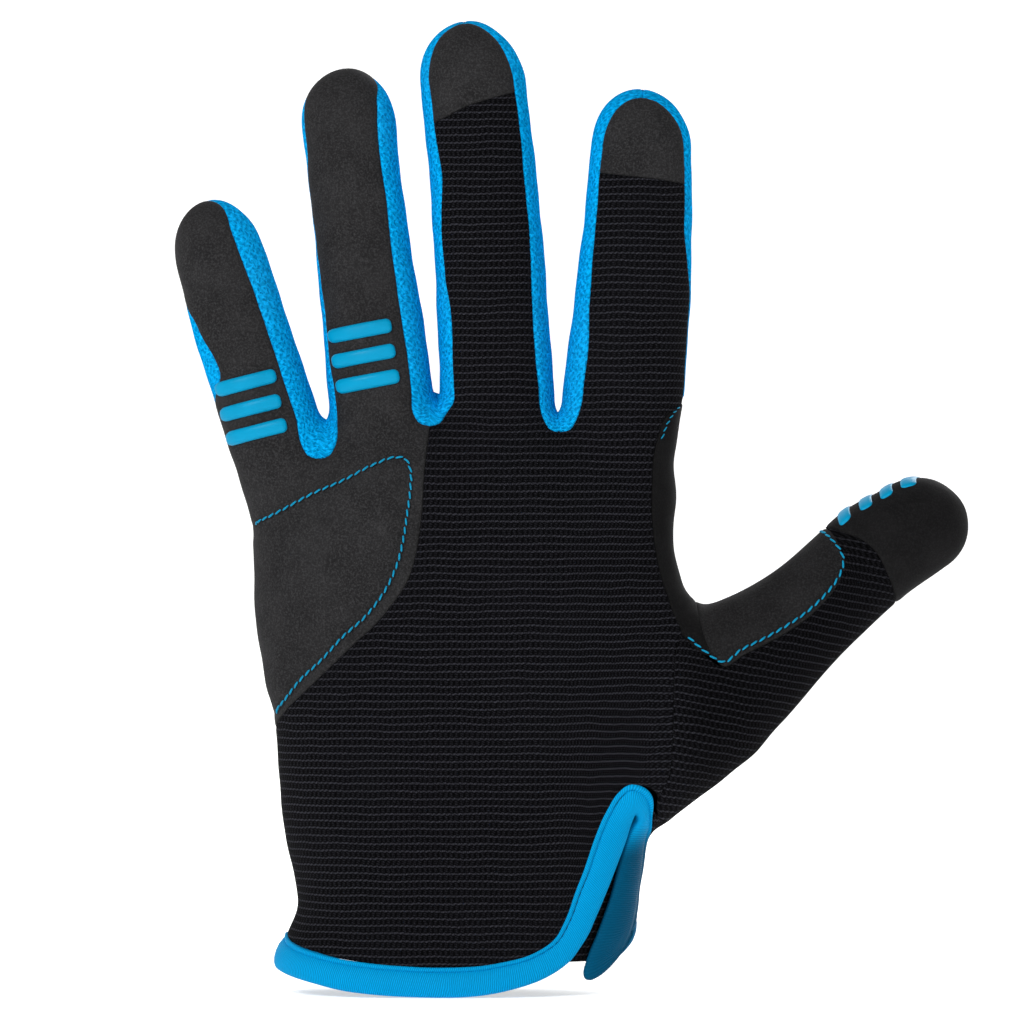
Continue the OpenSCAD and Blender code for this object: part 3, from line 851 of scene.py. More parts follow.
def to_edge(p):
    """Distance of a grid's points from its nearest edge, along its lines."""
    across, along = lengths(p, 1), lengths(p, 0)
    return np.minimum.reduce([across, across[:, -1:] - across, along, along[-1:] - along])


def make_palm():
    left = line(palm(*PALM_EDGE))
    z = np.array([13.2, 30, 50, 70, 90, 108, 117])
    right = line(hand_at(np.full(len(z), 262.0), z), pinky_foot())
    bottom = line(palm(PALM_EDGE[0]), hand_at(*tape_paths()[1](np.linspace(TAPE_PALM, 1, 30)).T))
    ends = [palm(PALM_EDGE[-1])]
    for name in FINGERS:
        left_web = WEB_OF[name][0]
        ends.append(palm(WEBS[left_web][1]) if left_web else pinky_foot())
    parts = []
    t = np.linspace(0, 1, 7)[:-1, None]
    for a, b in zip(ends[:-1], ends[1:]):
        parts.append(settle(a * (1 - t) + b * t + np.array([0, 2.0, 0]) * (t > 0)))
    top = line(*parts, ends[-1])
    u, v = spread(96, step=1.2), spread(108, (True, False), 1.2)
    piece = panel("palm_suede", coons(left, right, bottom, top, u, v), (1, 1, 1, 0))
    sew_on(piece, "suede", ["palm_panel"], "hand")
    a = line(palm((-31, 20), (-33, 35), (-34, 50), (-36, 66)))
    b = line(palm((-9, 19), (-4, 35), (-5, 52), (-17, 68)))
    u, v = spread(28, step=0.9), spread(48, step=0.9)
    grid = coons(a, b, line(palm((-31, 20), (-20, 17.5), (-9, 19))), line(palm((-36, 66), (-27, 69), (-17, 68))), u, v)
    piece = panel("heel_pad_suede", grid, raise_by=lambda p: 1.5 * ramp((to_edge(p) - 1.6) / 5), lift=0.75)
    sew_on(piece, "suede", ["palm_heel_pad"], "hand")
    a = line(palm((33, 26), (34, 45), (34, 62), (39, 84)))
    b = line(palm((22, 24), (12, 42), (13, 64), (29, 88)))
    u, v = spread(20, step=1.0), spread(62, step=1.0)
    grid = coons(a, b, line(palm((33, 26), (28, 23.4), (22, 24))), line(palm((39, 84), (34.5, 88), (29, 88))), u, v)
    piece = panel("thumb_base_suede", grid, lift=0.75)
    sew_on(piece, "suede", ["palm_thumb_patch"], "hand")


# ---- cuff ----

# The cuff's open edge and the tape's upper edge beside it, as (x or angle, height) pairs seen from the front, then
# as angles round the wrist.
EDGE_FRONT = [
    (-38.4, 6.3), (-33, 3.6), (-22, 1.2), (-8, 0.2), (5, 0.3), (14, 1.8), (21.5, 4.4), (27, 8.2), (30.4, 13),
    (32.9, 18.2), (34.9, 23.1), (36.8, 27.7), (38.5, 32.2), (39.8, 36.2), (40.6, 39.6), (41.1, 41.4), (41.4, 39.8),
    (40.2, 36.2), (38.9, 32.2), (37.7, 27.7), (36.5, 23.1), (35.1, 18.6), (33.4, 14.1), (31.4, 9.5), (30.2, 5.2),
    (31.4, 3.6), (34.4, 5.2), (37, 8.2),
]
TAPE_FRONT = [
    (-90, 13.2), (-33, 10.6), (-22, 8.2), (-8, 7.0), (4, 7.0), (11.5, 8.0), (17.8, 9.6), (22.8, 12.6), (25.6, 17),
    (27.5, 22), (29.3, 27), (31.1, 32.2), (32.8, 36.8), (34.8, 41.4), (37.6, 46.2), (41, 48.6), (44.4, 46.2),
    (80, 39.8), (86, 34), (89, 28.8), (90, 24.4), (90, 21), (89, 18.6), (87, 17.2), (85, 16.4), (86, 16.2), (88, 16.6),
    (91, 17.4),
]
EDGE_ROUND = [(93, 12.2), (107, 12.8), (126, 11), (150, 8.6), (180, 7.2), (215, 6.6), (245, 6.3), (270, 6.3)]
TAPE_ROUND = [(98, 18.8), (110, 19.8), (127, 18), (150, 15.6), (180, 14.2), (215, 13.6), (245, 13.2), (270, 13.2)]
# the tape's section: how far up it each point lies, and how far outside the form, in thicknesses
TAPE_ACROSS = np.array([
    1.0, 0.985, 0.95, 0.88, 0.83, 0.79, 0.6, 0.4, 0.22, 0.1, 0.03, 0.0, 0.0, 0.03, 0.1, 0.3, 0.6, 0.9, 0.97,
])
TAPE_HEIGHT = np.array([
    0.45, 0.9, 1.15, 1.0, 0.62, 1.0, 1.4, 1.6, 1.55, 1.3, 0.95, 0.4, -0.35, -0.75, -0.95, -1, -0.95, -0.9, -0.6,
])
TAPE_SPANS = 35  # between the points of the whole path
TAPE_RIGHT, TAPE_PALM = 16 / TAPE_SPANS, 30 / TAPE_SPANS + 0.03


def tape_paths():
    """The cuff's open edge and the tape's upper edge as curves of (angle, height) over the same share."""
    def turned(points):
        return [(x if abs(x) > 60 else float(angle_of(x, z)), z) for x, z in points]

    edge = np.array(turned(EDGE_FRONT) + EDGE_ROUND)
    upper = np.array(turned(TAPE_FRONT) + TAPE_ROUND)
    edge[0, 0] = upper[0, 0] = -90
    share = np.linspace(0, 1, len(edge))

    def along(points):
        return lambda t: np.stack([smooth(np.stack([share, c], 1), np.asarray(t, float)) for c in points.T], -1)

    return along(edge), along(upper)


def painted_slit_shade(t):
    """Painted shade: 1 along the slit's thumb side, which turns in and lies in its own shade, and 0 along the rest of
    the edge.
    """
    return ramp((TAPE_SPANS * t - 16.4) / 2) * (1 - ramp((TAPE_SPANS * t - 25.5) / 5))


def make_tape():
    """The binding: a profile that runs down outside the cloth, round its edge and up inside, carried along the edge."""
    sizes = bpy.context.scene.glove_sizes
    edge, upper = tape_paths()
    t = np.linspace(0, 1, 420)[:-1]
    e, i = edge(t), upper(t)
    thick = sizes.tape * 1000
    across = TAPE_ACROSS[None, :, None]
    flat = e[:, None] * (1 - across) + i[:, None] * across
    p = settle(hand_at(flat[..., 0], flat[..., 1]))
    n = normal_at(p)
    p = p + n * (TAPE_HEIGHT * thick)[None, :, None]
    count, ring = p.shape[:2]
    a = np.arange(count * ring).reshape(count, ring)
    b, c = np.roll(a, -1, 0), np.roll(a, -1, 1)
    faces = np.stack([a, b, np.roll(b, -1, 1), c], -1).reshape(-1, 4)
    run = np.concatenate([[0], np.cumsum(np.linalg.norm(np.diff(p[:, 6], axis=0), axis=1))])
    wide = np.concatenate([[0], np.cumsum(np.linalg.norm(np.diff(p[40], axis=0), axis=1))])
    uv = np.stack([np.repeat(run, ring), np.tile(wide, count)], -1)
    piece = build("cuff_tape", p.reshape(-1, 3), faces.tolist(), uv, 70)
    fix_normals(piece)
    # painted shade: the tape's turned-in side of the slit is darkened
    paint_shade(piece, np.repeat(painted_slit_shade(t), ring))
    sew_on(piece, "tape", ["cuff_binding"], "hand")


def fix_normals(piece):
    work = bmesh.new()
    work.from_mesh(piece.data)
    bmesh.ops.recalc_face_normals(work, faces=work.faces)
    work.to_mesh(piece.data)
    work.free()


def make_wrist_side():
    upper = tape_paths()[1]
    corner = 25.5 / TAPE_SPANS
    left = line(hand_at(*upper(np.linspace(corner, 16.2 / TAPE_SPANS, 30)).T))
    right = line(palm(*PALM_EDGE[:4]))
    bottom = line(hand_at(*upper(np.linspace(corner, TAPE_PALM, 16)).T)[:-1], palm(PALM_EDGE[0]))
    top = line(back((46, 45.8)), settle(np.array([[48.4, -2, 42.5], [47.6, 6, 44.5]])), palm((43, 50), PALM_EDGE[3]))
    u, v = spread(26, step=0.9), spread(34, step=0.9)
    piece = panel("wrist_side_knit", coons(left, right, bottom, top, u, v), (1, 1, 1, 1), uv=knit_map)
    sew_on(piece, "knit", ["wrist_side_panel"], "hand")
    z, share = np.linspace(7.6, 44, 40), np.linspace(-1, 1, 26)
    middle = smooth([(7.6, 31.5), (14, 34), (28, 38.5), (44, 43)], z)
    reach = smooth([(7.6, 4.6), (14, 6.2), (28, 5.4), (44, 3)], z)
    x = middle[:, None] + reach[:, None] * share[None]
    grid = back(*np.stack([x.ravel(), np.repeat(z, len(share))], -1)).reshape(*x.shape, 3)
    piece = panel("slit_insert_knit", grid, lift=-2.0, uv=knit_map)
    sew_on(piece, "knit", ["slit_insert"], "hand")


# ---- thumb ----

def make_thumb():
    cap_at = lambda angle: smooth(THUMB_CAP_EDGE, angle)
    patch_end = THUMB.at(*zip(*THUMB_PATCH_END))
    palm_seam = THUMB.at([14, 22, 32, 42, 51.1], [-128, -122, -116, -108, -100])
    under = line(THUMB_FOOT, THUMB.at(np.linspace(-12, 53.8, 10), np.linspace(112, 105, 10)))
    side = line(THUMB_FOOT, back((46.9, 39.5)), back(*THUMB_SIDE), back(THUMB_PATCH_LOW[0]))
    side = line(settle(side(np.linspace(0, 1, 16))))
    top = line(back(*THUMB_PATCH_LOW), back(*THUMB_PATCH_EDGE[1:]), patch_end)
    t = np.linspace(105, -100, 14)
    right = line(THUMB.at(cap_at(t), t))
    u, v = spread(66, step=0.95), spread(40, step=0.95)
    grid = coons(side, right, under, top, u, v)
    sloped = lambda p: np.stack([knit_map(p)[..., 0], p[..., 2] + 0.16 * p[..., 0]], -1)
    piece = panel("thumb_knit", grid, uv=sloped)
    x = np.array([vertex.co.x for vertex in piece.data.vertices]) / MM
    # painted shade: the thumb's knit grows darker from x = 47 mm outwards over the thumb
    paint_shade(piece, 0.4 * ramp((x - 47) / 12))
    sew_on(piece, "knit", ["thumb_base_back", "thumb_back"], None, "thumb")

    left = line(back(*THUMB_FOLD), settle(THUMB_CROTCH), palm(PALM_EDGE[5]))
    palm_top = line(palm(PALM_EDGE[5]), palm_seam)
    bottom = line(back(THUMB_FOLD[0], *THUMB_PATCH_EDGE))
    right = line(back(THUMB_PATCH_EDGE[-1]), patch_end)
    u, v = spread(40, step=0.9), spread(24, step=0.9)
    edge_line = [(q[0] - 0.9, q[1] + 0.9) for q in THUMB_PATCH_EDGE]
    groove = lambda p: -0.25 * np.exp(-((to_line(p, edge_line)[0] / 0.6) ** 2)) * (p[..., 1] < 0)
    piece = panel("thumb_patch_suede", coons(left, right, bottom, palm_top, u, v), raise_by=groove)
    # painted shade: the thumb patch's suede is darkened
    paint_shade(piece, 0.42)
    sew_on(piece, "suede", ["thumb_base_patch", "thumb_patch"], None, "thumb")

    left = line(THUMB_FOOT, palm(*PALM_EDGE[3:6]))
    t = np.linspace(105, 260, 12)
    right = line(THUMB.at(cap_at(np.where(t > 180, -100, 105)), t))
    u, v = spread(60, step=1.0), spread(38, step=1.0)
    piece = panel("thumb_palm_suede", coons(left, right, under, palm_top, u, v))
    sew_on(piece, "suede", ["thumb_base_palm"], None, "thumb")

    s = rows(THUMB, 54.0, THUMB.length)
    u = spread(34, step=1.0)
    grid = strip(THUMB, s, fixed(105), fixed(260), u)
    grid[0] = right(u)
    piece = panel("thumb_tip_palm_suede", grid, (1, 1, 1, 0))
    sew_on(piece, "suede", ["thumb_palm"], "thumb")

    u = spread(36, step=0.85)
    angle = -100 + 205 * u
    start = cap_at(angle)
    s = rows(THUMB, 56, THUMB.length, 0.95)
    share = (s - s[0]) / (s[-1] - s[0])
    along = start[None] + (THUMB.length - start[None]) * share[:, None]
    near = start[None] + np.array([0, 0.22, 0.5, 0.85])[:, None]
    along = np.concatenate([near, along[1:]])
    piece = panel("thumb_tip_suede", THUMB.at(along, angle[None]), (1, 1, 1, 0), lift=0.12)
    # painted shade: the thumb's tip cap is darkened
    paint_shade(piece, 0.72)
    sew_on(piece, "suede", ["thumb_tip_cap"], "thumb")


# ---- bars ----

def bar(place, long, wide, high):
    """A raised bar: a rectangle with rounded corners, whose top is nearly flat and falls to its edge as a rounded
    quarter does, set on the form by place(x, y). Returns its outer and inner grids and its place on the cloth."""
    corner = 0.36 * wide
    even = np.linspace(-1, 1, 41)
    x = np.sin(even * math.pi / 2) * 0.5 + even * 0.5
    y = np.sin(np.linspace(-1, 1, 17) * math.pi / 2)
    over = np.maximum(np.abs(y) * wide / 2 - (wide / 2 - corner), 0) / corner
    px = x[None] * (long / 2 - corner * (1 - np.sqrt(np.maximum(1 - over**2, 0))))[:, None]
    py = np.repeat(y[:, None], len(x), 1) * wide / 2
    qx, qy = np.maximum(np.abs(px) - (long / 2 - corner), 0), np.maximum(np.abs(py) - (wide / 2 - corner), 0)
    r = np.clip(np.hypot(qx, qy) / corner, 0, 1)
    crown = 1 - 0.18 * (py / wide * 2) ** 2
    height = high * crown * np.sqrt(np.maximum(1 - r**2.6, 0))
    p = settle(place(px, py))
    n = normal_at(p)
    if not outward(p, n):
        p, n, height = p[:, ::-1], n[:, ::-1], height[:, ::-1]
        px, py = px[:, ::-1], py[:, ::-1]
    return p + n * (0.75 + height)[..., None], p + n * 0.3, np.stack([px, py], -1)


def straight_on(a, b):
    """Places a bar whose middle line runs from a to b as seen from the front, on the back of a finger."""
    a, b = np.array(a, float), np.array(b, float)
    ahead = (b - a) / np.linalg.norm(b - a)
    side = np.array([-ahead[1], ahead[0]])
    middle = (a + b) / 2

    def place(x, y):
        flat = middle + x[..., None] * ahead + y[..., None] * side
        return back(*flat.reshape(-1, 2)).reshape(*x.shape, 3)

    return place


def make_bars():
    high = bpy.context.scene.glove_sizes.bar_height * 1000
    ring = [((-26.8, 148.4), (-13.2, 151.0)), ((-26.0, 142.7), (-12.3, 145.3)), ((-25.1, 137.0), (-11.4, 139.6))]
    pinky = [((-52.3, 136.4), (-39.2, 139.7)), ((-51.2, 130.8), (-38.0, 134.0)), ((-49.9, 125.4), (-36.6, 128.6))]
    piece = shell("ring_grip_bars", [bar(straight_on(*q), 13.7, 3.3, high) for q in ring], 60)
    sew_on(piece, "grip_rubber", ["ring_bars"], None, "ring")
    piece = shell("pinky_grip_bars", [bar(straight_on(*q), 13.2, 3.3, high) for q in pinky], 60)
    sew_on(piece, "grip_rubber", ["pinky_bars"], None, "pinky")

    def on_thumb(s):
        return lambda x, y: THUMB.at(s + y - 0.2 * x, -93 + x * 5.3)

    piece = shell("thumb_grip_bars", [bar(on_thumb(s), 15, 3.2, high * 0.45) for s in (57, 62.6, 67.9, 73)], 60)
    sew_on(piece, "grip_rubber", ["thumb_bars"], "thumb")


# ---- stitches ----

THREAD_SIDES = 7


def stitches(name, curve, pitch, lift, radius=None, share=0.8, slant=0.22, fall=0.0):
    """Dashes along a curve: each is a short round thread that crosses it at a slant and dips at both ends. The
    thread's radius falls to its ends as the fourth-power curve does. The whole row comes down by a fall at its ends,
    where the cloth rolls down into a seam."""
    radius = radius or bpy.context.scene.glove_sizes.thread * 500
    q = settle(curve(np.linspace(0, 1, 400)))
    run = np.concatenate([[0], np.cumsum(np.linalg.norm(np.diff(q, axis=0), axis=1))])
    count = int(run[-1] // pitch)
    middle = (np.arange(count) + 0.5) * run[-1] / count
    x = np.array([-1, -0.93, -0.7, 0, 0.7, 0.93, 1.0])
    where = middle[:, None] + x[None] * pitch * share / 2
    p = np.stack([np.interp(where, run, c) for c in q.T], -1)
    ahead = np.stack([np.interp(where + 0.2, run, c) - np.interp(where - 0.2, run, c) for c in q.T], -1)
    ahead /= np.linalg.norm(ahead, axis=-1, keepdims=True) + 1e-9
    n = normal_at(p.reshape(-1, 3)).reshape(p.shape)
    side = np.cross(ahead, n)
    side /= np.linalg.norm(side, axis=-1, keepdims=True)
    down = fall * (1 - ramp(np.minimum(where, run[-1] - where) / 3))
    p = p + n * (lift - down - 0.5 * radius * x[None] ** 4)[..., None] + side * (slant * x)[None, :, None]
    size = radius * np.sqrt(np.maximum(1 - x**4, 0.02))
    turn = np.arange(THREAD_SIDES) / THREAD_SIDES * 2 * math.pi
    points = p[:, :, None] + size[None, :, None, None] * (
        n[:, :, None] * np.cos(turn)[None, None, :, None] + side[:, :, None] * np.sin(turn)[None, None, :, None])
    a = np.arange(count * len(x) * THREAD_SIDES).reshape(count, len(x), THREAD_SIDES)
    b = np.roll(a, -1, 2)
    sides = np.stack([a[:, :-1], b[:, :-1], b[:, 1:], a[:, 1:]], -1).reshape(-1, 4).tolist()
    ends = a[:, 0, ::-1].tolist() + a[:, -1].tolist()
    across = np.repeat(np.repeat(where.ravel(), THREAD_SIDES)[:, None], 2, 1)
    piece = build(name, points.reshape(-1, 3), sides + ends, across, 80)
    fix_normals(piece)
    return piece


def make_stitches():
    piece = stitches("side_stitches", line(back(*SIDE_LINE)), 2.0, 1.0, share=0.86, slant=-0.18, fall=0.55)
    sew_on(piece, "thread", ["side_stitching"], "hand")
    inset = [(47.3, 125.2), (48.5, 128.6), (49.9, 131.1), (51.4, 133)]
    piece = stitches("index_edge_stitches", line(back(*inset)), 1.7, 0.8, 0.16)
    sew_on(piece, "thread", ["index_edge_stitching"], None, "index")
    low = [(53.6, 80.6), (57.2, 77.6), (61.9, 75.1)]
    patch = [(65.4, 77.6), (70.6, 80.2), (75.9, 83.2), (80.5, 86.4), (84.4, 90), (87, 93.1), (88.5, 95.9), (88.9, 98)]
    top = THUMB.at([50.6, 50.6, 50.3, 49.9], [-30, -46, -66, -88])
    piece = stitches("thumb_stitches", line(back(*low), back(*patch), top), 2.1, 0.78, share=0.86, slant=-0.18)
    sew_on(piece, "thread", ["thumb_stitching"], None, "thumb")
    around = [
        (-30, 22), (-20, 19.4), (-10.4, 20.8), (-6, 35), (-7, 51), (-18, 66), (-27, 67.2), (-34.4, 64.6), (-32.6, 50),
        (-31.4, 35), (-29.6, 23),
    ]
    piece = stitches("heel_pad_stitches", line(palm(*around)), 2.1, 1.6, share=0.86, slant=-0.18)
    sew_on(piece, "thread", ["heel_pad_stitching"], "hand")
    edge, upper = tape_paths()
    t = np.linspace(0, 1, 200)
    flat = edge(t) * 0.19 + upper(t) * 0.81
    thick = bpy.context.scene.glove_sizes.tape * 1000
    route = hand_at(*flat.T)
    piece = stitches("cuff_stitches", line(route), 2.0, 0.72 * thick, 0.17, 0.72, 0)
    at = np.array([vertex.co for vertex in piece.data.vertices]) / MM
    nearest = np.linalg.norm(at[:, None] - route[None], axis=-1).argmin(1)
    # painted shade: stitches on the slit's turned-in side are darkened as the tape is
    paint_shade(piece, painted_slit_shade(t[nearest]))
    sew_on(piece, "tape", ["cuff_stitching"], "hand")


# ---- finishes ----

RIB_PITCH = 1.68


class Tree:
    """A short way to write a node tree: each call adds a node, links or sets its inputs and returns its output."""

    def __init__(self, tree):
        self.tree = tree

    def node(self, kind, inputs=(), out=0, **settings):
        node = self.tree.nodes.new(kind)
        for key, value in settings.items():
            setattr(node, key, value)
        for key, value in (inputs.items() if isinstance(inputs, dict) else enumerate(inputs)):
            if isinstance(value, bpy.types.NodeSocket):
                self.tree.links.new(value, node.inputs[key])
            elif value is not None:
                node.inputs[key].default_value = value
        return node.outputs[out]

    def math(self, what, *values):
        return self.node("ShaderNodeMath", values, operation=what)

    def noise(self, where, scale, detail=2.0, rough=0.5):
        return self.node(
            "ShaderNodeTexNoise", {"Vector": where, "Scale": scale, "Detail": detail, "Roughness": rough})

    def range(self, value, low, high, to_low=0.0, to_high=1.0):
        return self.node(
            "ShaderNodeMapRange", {0: value, 1: low, 2: high, 3: to_low, 4: to_high}, interpolation_type="SMOOTHSTEP")

    def mix(self, share, a, b):
        return self.node("ShaderNodeMix", {0: share, 6: a, 7: b}, out=2, data_type="RGBA")


def group(name, inputs, outputs, fill):
    """A node group with named inputs and outputs, filled by a function of its tree."""
    tree = bpy.data.node_groups.new(name, "ShaderNodeTree")
    for word, kind, value in inputs:
        socket = tree.interface.new_socket(word, in_out="INPUT", socket_type=kind)
        if value is not None:
            socket.default_value = value
    for word, kind in outputs:
        tree.interface.new_socket(word, in_out="OUTPUT", socket_type=kind)
    start, end = tree.nodes.new("NodeGroupInput"), tree.nodes.new("NodeGroupOutput")
    for word, socket in fill(Tree(tree), start.outputs).items():
        tree.links.new(socket, end.inputs[word])
    return tree


def ribbed(t, given):
    """Level ribs: a fine raised line once per pitch and two rows of small loops between."""
    uv = t.node("ShaderNodeSeparateXYZ", [given["Cloth"]], 0).node
    across, up = uv.outputs[0], uv.outputs[1]
    wander = t.math("MULTIPLY", t.math("SUBTRACT", t.noise(given["Cloth"], 0.09, 2.0), 0.5), 1.1)
    up = t.math("ADD", up, wander)
    level = t.math("DIVIDE", up, given["Rib pitch"])
    row = t.math("FLOOR", level)
    rib = t.math("FRACT", level)
    jitter = t.math("MULTIPLY", t.noise(given["Cloth"], 0.5, 3.0, 0.6), 4.0)
    shift = t.math("MULTIPLY", t.node("ShaderNodeTexWhiteNoise", {"W": row}, noise_dimensions="1D"), 0.8)
    columns = t.math("ADD", t.math("ADD", t.math("MULTIPLY", across, 2 * math.pi / 1.18), jitter), shift)
    wave = t.math("SINE", columns)
    loops = t.math("ADD", t.math("MULTIPLY", wave, 0.5), 0.5)
    middle = t.math("SUBTRACT", 0.5, t.math("MULTIPLY", t.math("COSINE", columns), 0.045))
    off = t.math("ABSOLUTE", t.math("SUBTRACT", rib, middle))
    fibre = t.noise(given["Cloth"], 3.0, 4.0, 0.8)
    ridge = t.math("SUBTRACT", 1.0, t.range(off, 0.03, 0.2))
    ridge = t.math("MULTIPLY", ridge, t.math("ADD", t.math("MULTIPLY", loops, 0.55), 0.45))
    ridge = t.math("MULTIPLY", ridge, t.range(fibre, 0.34, 0.66, 0.15, 1.3))
    low = t.math("SUBTRACT", 1.0, t.range(t.math("ABSOLUTE", t.math("SUBTRACT", off, 0.36)), 0.03, 0.17))
    low = t.math("MULTIPLY", low, t.math("MULTIPLY", t.math("SUBTRACT", 1.0, loops), t.range(fibre, 0.35, 0.6)))
    height = t.math("ADD", t.math("ADD", ridge, t.math("MULTIPLY", low, 0.5)), t.math("MULTIPLY", fibre, 0.3))
    return {"Height": height, "Lines": ridge, "Loops": low}


def mesh_knit(t, given):
    """Open mesh: small dimples in shifted rows, uneven in size, with fuzzy strands between them."""
    warp = t.node("ShaderNodeTexNoise", {"Vector": given["Cloth"], "Scale": 0.7, "Detail": 2.0}, out=1)
    moved = t.node(
        "ShaderNodeVectorMath", {0: warp, 1: (2.6, 2.6, 0), 2: given["Cloth"]}, operation="MULTIPLY_ADD")
    parts = t.node("ShaderNodeSeparateXYZ", [moved], 0).node
    a = t.math("SINE", t.math("MULTIPLY", parts.outputs[0], 2 * math.pi / 1.7))
    b = t.math("SINE", t.math("MULTIPLY", parts.outputs[1], 2 * math.pi / 2.0))
    fuzz = t.noise(given["Cloth"], 1.1, 5.0, 0.72)
    cell = t.math("ADD", t.math("MULTIPLY", a, b), t.math("MULTIPLY", t.math("SUBTRACT", fuzz, 0.5), 2.4))
    dimple = t.range(cell, 0.0, 1.1)
    height = t.math("SUBTRACT", t.math("MULTIPLY", fuzz, 0.8), dimple)
    return {"Height": height, "Dimples": dimple, "Fuzz": t.range(fuzz, 0.36, 0.64)}


def taped(t, given):
    """Woven tape and sewing thread: fine cords straight across, leaning a little."""
    uv = t.node("ShaderNodeSeparateXYZ", [given["Cloth"]], 0).node
    along, across = uv.outputs[0], uv.outputs[1]
    lean = t.math("ADD", along, t.math("MULTIPLY", across, 0.32))
    lean = t.math("ADD", lean, t.math("MULTIPLY", t.noise(given["Cloth"], 0.8, 2.0), 0.35))
    cord = t.math("ADD", t.math("MULTIPLY", t.math("SINE", t.math("MULTIPLY", lean, 2 * math.pi / 0.46)), 0.5), 0.5)
    return {"Height": cord, "Cords": cord}


def speckle(t, given):
    """Nap: coarse and fine mottling with a few lighter fibres."""
    coarse = t.noise(given["Place"], 120.0, 5.0, 0.65)
    fine = t.noise(given["Place"], 2300.0, 3.0, 0.75)
    grain = t.noise(given["Place"], 4200.0, 2.0, 0.6)
    fibres = t.range(fine, 0.42, 0.68)
    height = t.math("ADD", t.math("MULTIPLY", fine, 0.6), t.math("MULTIPLY", grain, 0.4))
    return {"Height": height, "Fibres": fibres, "Mottle": t.range(coarse, 0.35, 0.65)}


def worn(t, given):
    """Lint and rubbing: a broad, uneven mask."""
    broad = t.noise(given["Place"], 38.0, 4.0, 0.6)
    return {"Mask": t.range(broad, 0.42, 0.7)}


def principled(name, colour, **settings):
    """A material with a plain Principled shader and its tree, ready for links."""
    material = bpy.data.materials.get(name) or bpy.data.materials.new(name)
    material.use_nodes = True
    tree = material.node_tree
    tree.nodes.clear()
    out = tree.nodes.new("ShaderNodeOutputMaterial")
    shader = tree.nodes.new("ShaderNodeBsdfPrincipled")
    tree.links.new(shader.outputs[0], out.inputs[0])
    shader.inputs["Base Color"].default_value = colour
    for key, value in settings.items():
        shader.inputs[key.replace("_", " ")].default_value = value
    return Tree(tree), shader


def place_group(t, name, **values):
    node = t.tree.nodes.new("ShaderNodeGroup")
    node.node_tree = bpy.data.node_groups[name]
    for key, value in values.items():
        key = key.replace("_", " ")
        if isinstance(value, bpy.types.NodeSocket):
            t.tree.links.new(value, node.inputs[key])
        else:
            node.inputs[key].default_value = value
    return node.outputs


def on_cloth(t):
    return t.node("ShaderNodeUVMap", uv_map="weave")


def in_place(t):
    return t.node("ShaderNodeTexCoord", out=3)


def shade_of(t):
    return t.node("ShaderNodeAttribute", out=2, attribute_name="shade")


def tone(colour, share=1.0, plus=0.0):
    """A colour made lighter or darker, with its fourth number."""
    return (*(np.array(colour) * share + plus), 1)


def link_up(t, shader, base, rough, height, strength, distance):
    """Links a finish's colour, its roughness where it varies, and its bumps."""
    t.tree.links.new(base, shader.inputs["Base Color"])
    if rough is not None:
        t.tree.links.new(rough, shader.inputs["Roughness"])
    bump = t.node("ShaderNodeBump", {"Strength": strength, "Distance": distance, "Height": height})
    t.tree.links.new(bump, shader.inputs["Normal"])


def finish_knit(c):
    t, shader = principled("knit", tone(c.knit), Sheen_Weight=0.01, Sheen_Roughness=0.5, Specular_IOR_Level=0.02)
    rib = place_group(t, "ribbed_cloth", Cloth=on_cloth(t), Rib_pitch=RIB_PITCH)
    wear = place_group(t, "wear", Place=in_place(t))
    base = t.mix(rib["Loops"], tone(c.knit, 0.25), tone(c.knit, 5))
    base = t.mix(rib["Lines"], base, tone(c.knit, 16))
    base = t.mix(t.math("MULTIPLY", wear["Mask"], 0.1), base, tone(c.knit, 2.6))
    # painted shade: points with a shade value go towards black
    base = t.mix(shade_of(t), base, (0, 0, 0, 1))
    link_up(t, shader, base, t.range(rib["Lines"], 0, 1, 0.95, 0.7), rib["Height"], 0.9, 0.0003)


def finish_suede(c):
    t, shader = principled(
        "suede", tone(c.suede), Roughness=0.92, Sheen_Weight=0.03, Sheen_Roughness=0.55, Specular_IOR_Level=0.06,
        Sheen_Tint=(0.75, 0.75, 0.78, 1))
    place = in_place(t)
    nap = place_group(t, "nap", Place=place)
    wear = place_group(t, "wear", Place=place)
    # the broad mottle is partly the suede's uneven tone and partly painted shade of soft folds and puffing
    base = t.mix(nap["Mottle"], tone(c.suede, 0.76), tone(c.suede, 1.12))
    base = t.mix(t.math("MULTIPLY", nap["Fibres"], 0.8), base, tone(c.suede, 2.7))
    base = t.mix(t.math("MULTIPLY", wear["Mask"], 0.12), base, tone(c.suede, 1.4))
    # painted shade: points with a shade value go towards 0.12 of the suede's colour
    base = t.mix(shade_of(t), base, tone(c.suede, 0.12))
    link_up(t, shader, base, t.range(nap["Mottle"], 0, 1, 0.96, 0.84), nap["Height"], 0.55, 0.00016)


def finish_mesh(c):
    t, shader = principled("mesh", tone(c.mesh), Roughness=0.8, Specular_IOR_Level=0.0)
    knit = place_group(t, "mesh_cloth", Cloth=on_cloth(t))
    wear = place_group(t, "wear", Place=in_place(t))
    base = t.mix(knit["Fuzz"], tone(c.mesh, 0.66), tone(c.mesh, 1.25, 0.003))
    base = t.mix(knit["Dimples"], base, tone(c.mesh, np.array([0.5, 0.58, 0.66])))
    base = t.mix(t.math("MULTIPLY", wear["Mask"], 0.15), base, tone(c.mesh, 0.8, 0.02))
    link_up(t, shader, base, t.range(knit["Dimples"], 0, 1, 0.62, 0.9), knit["Height"], 0.85, 0.0003)


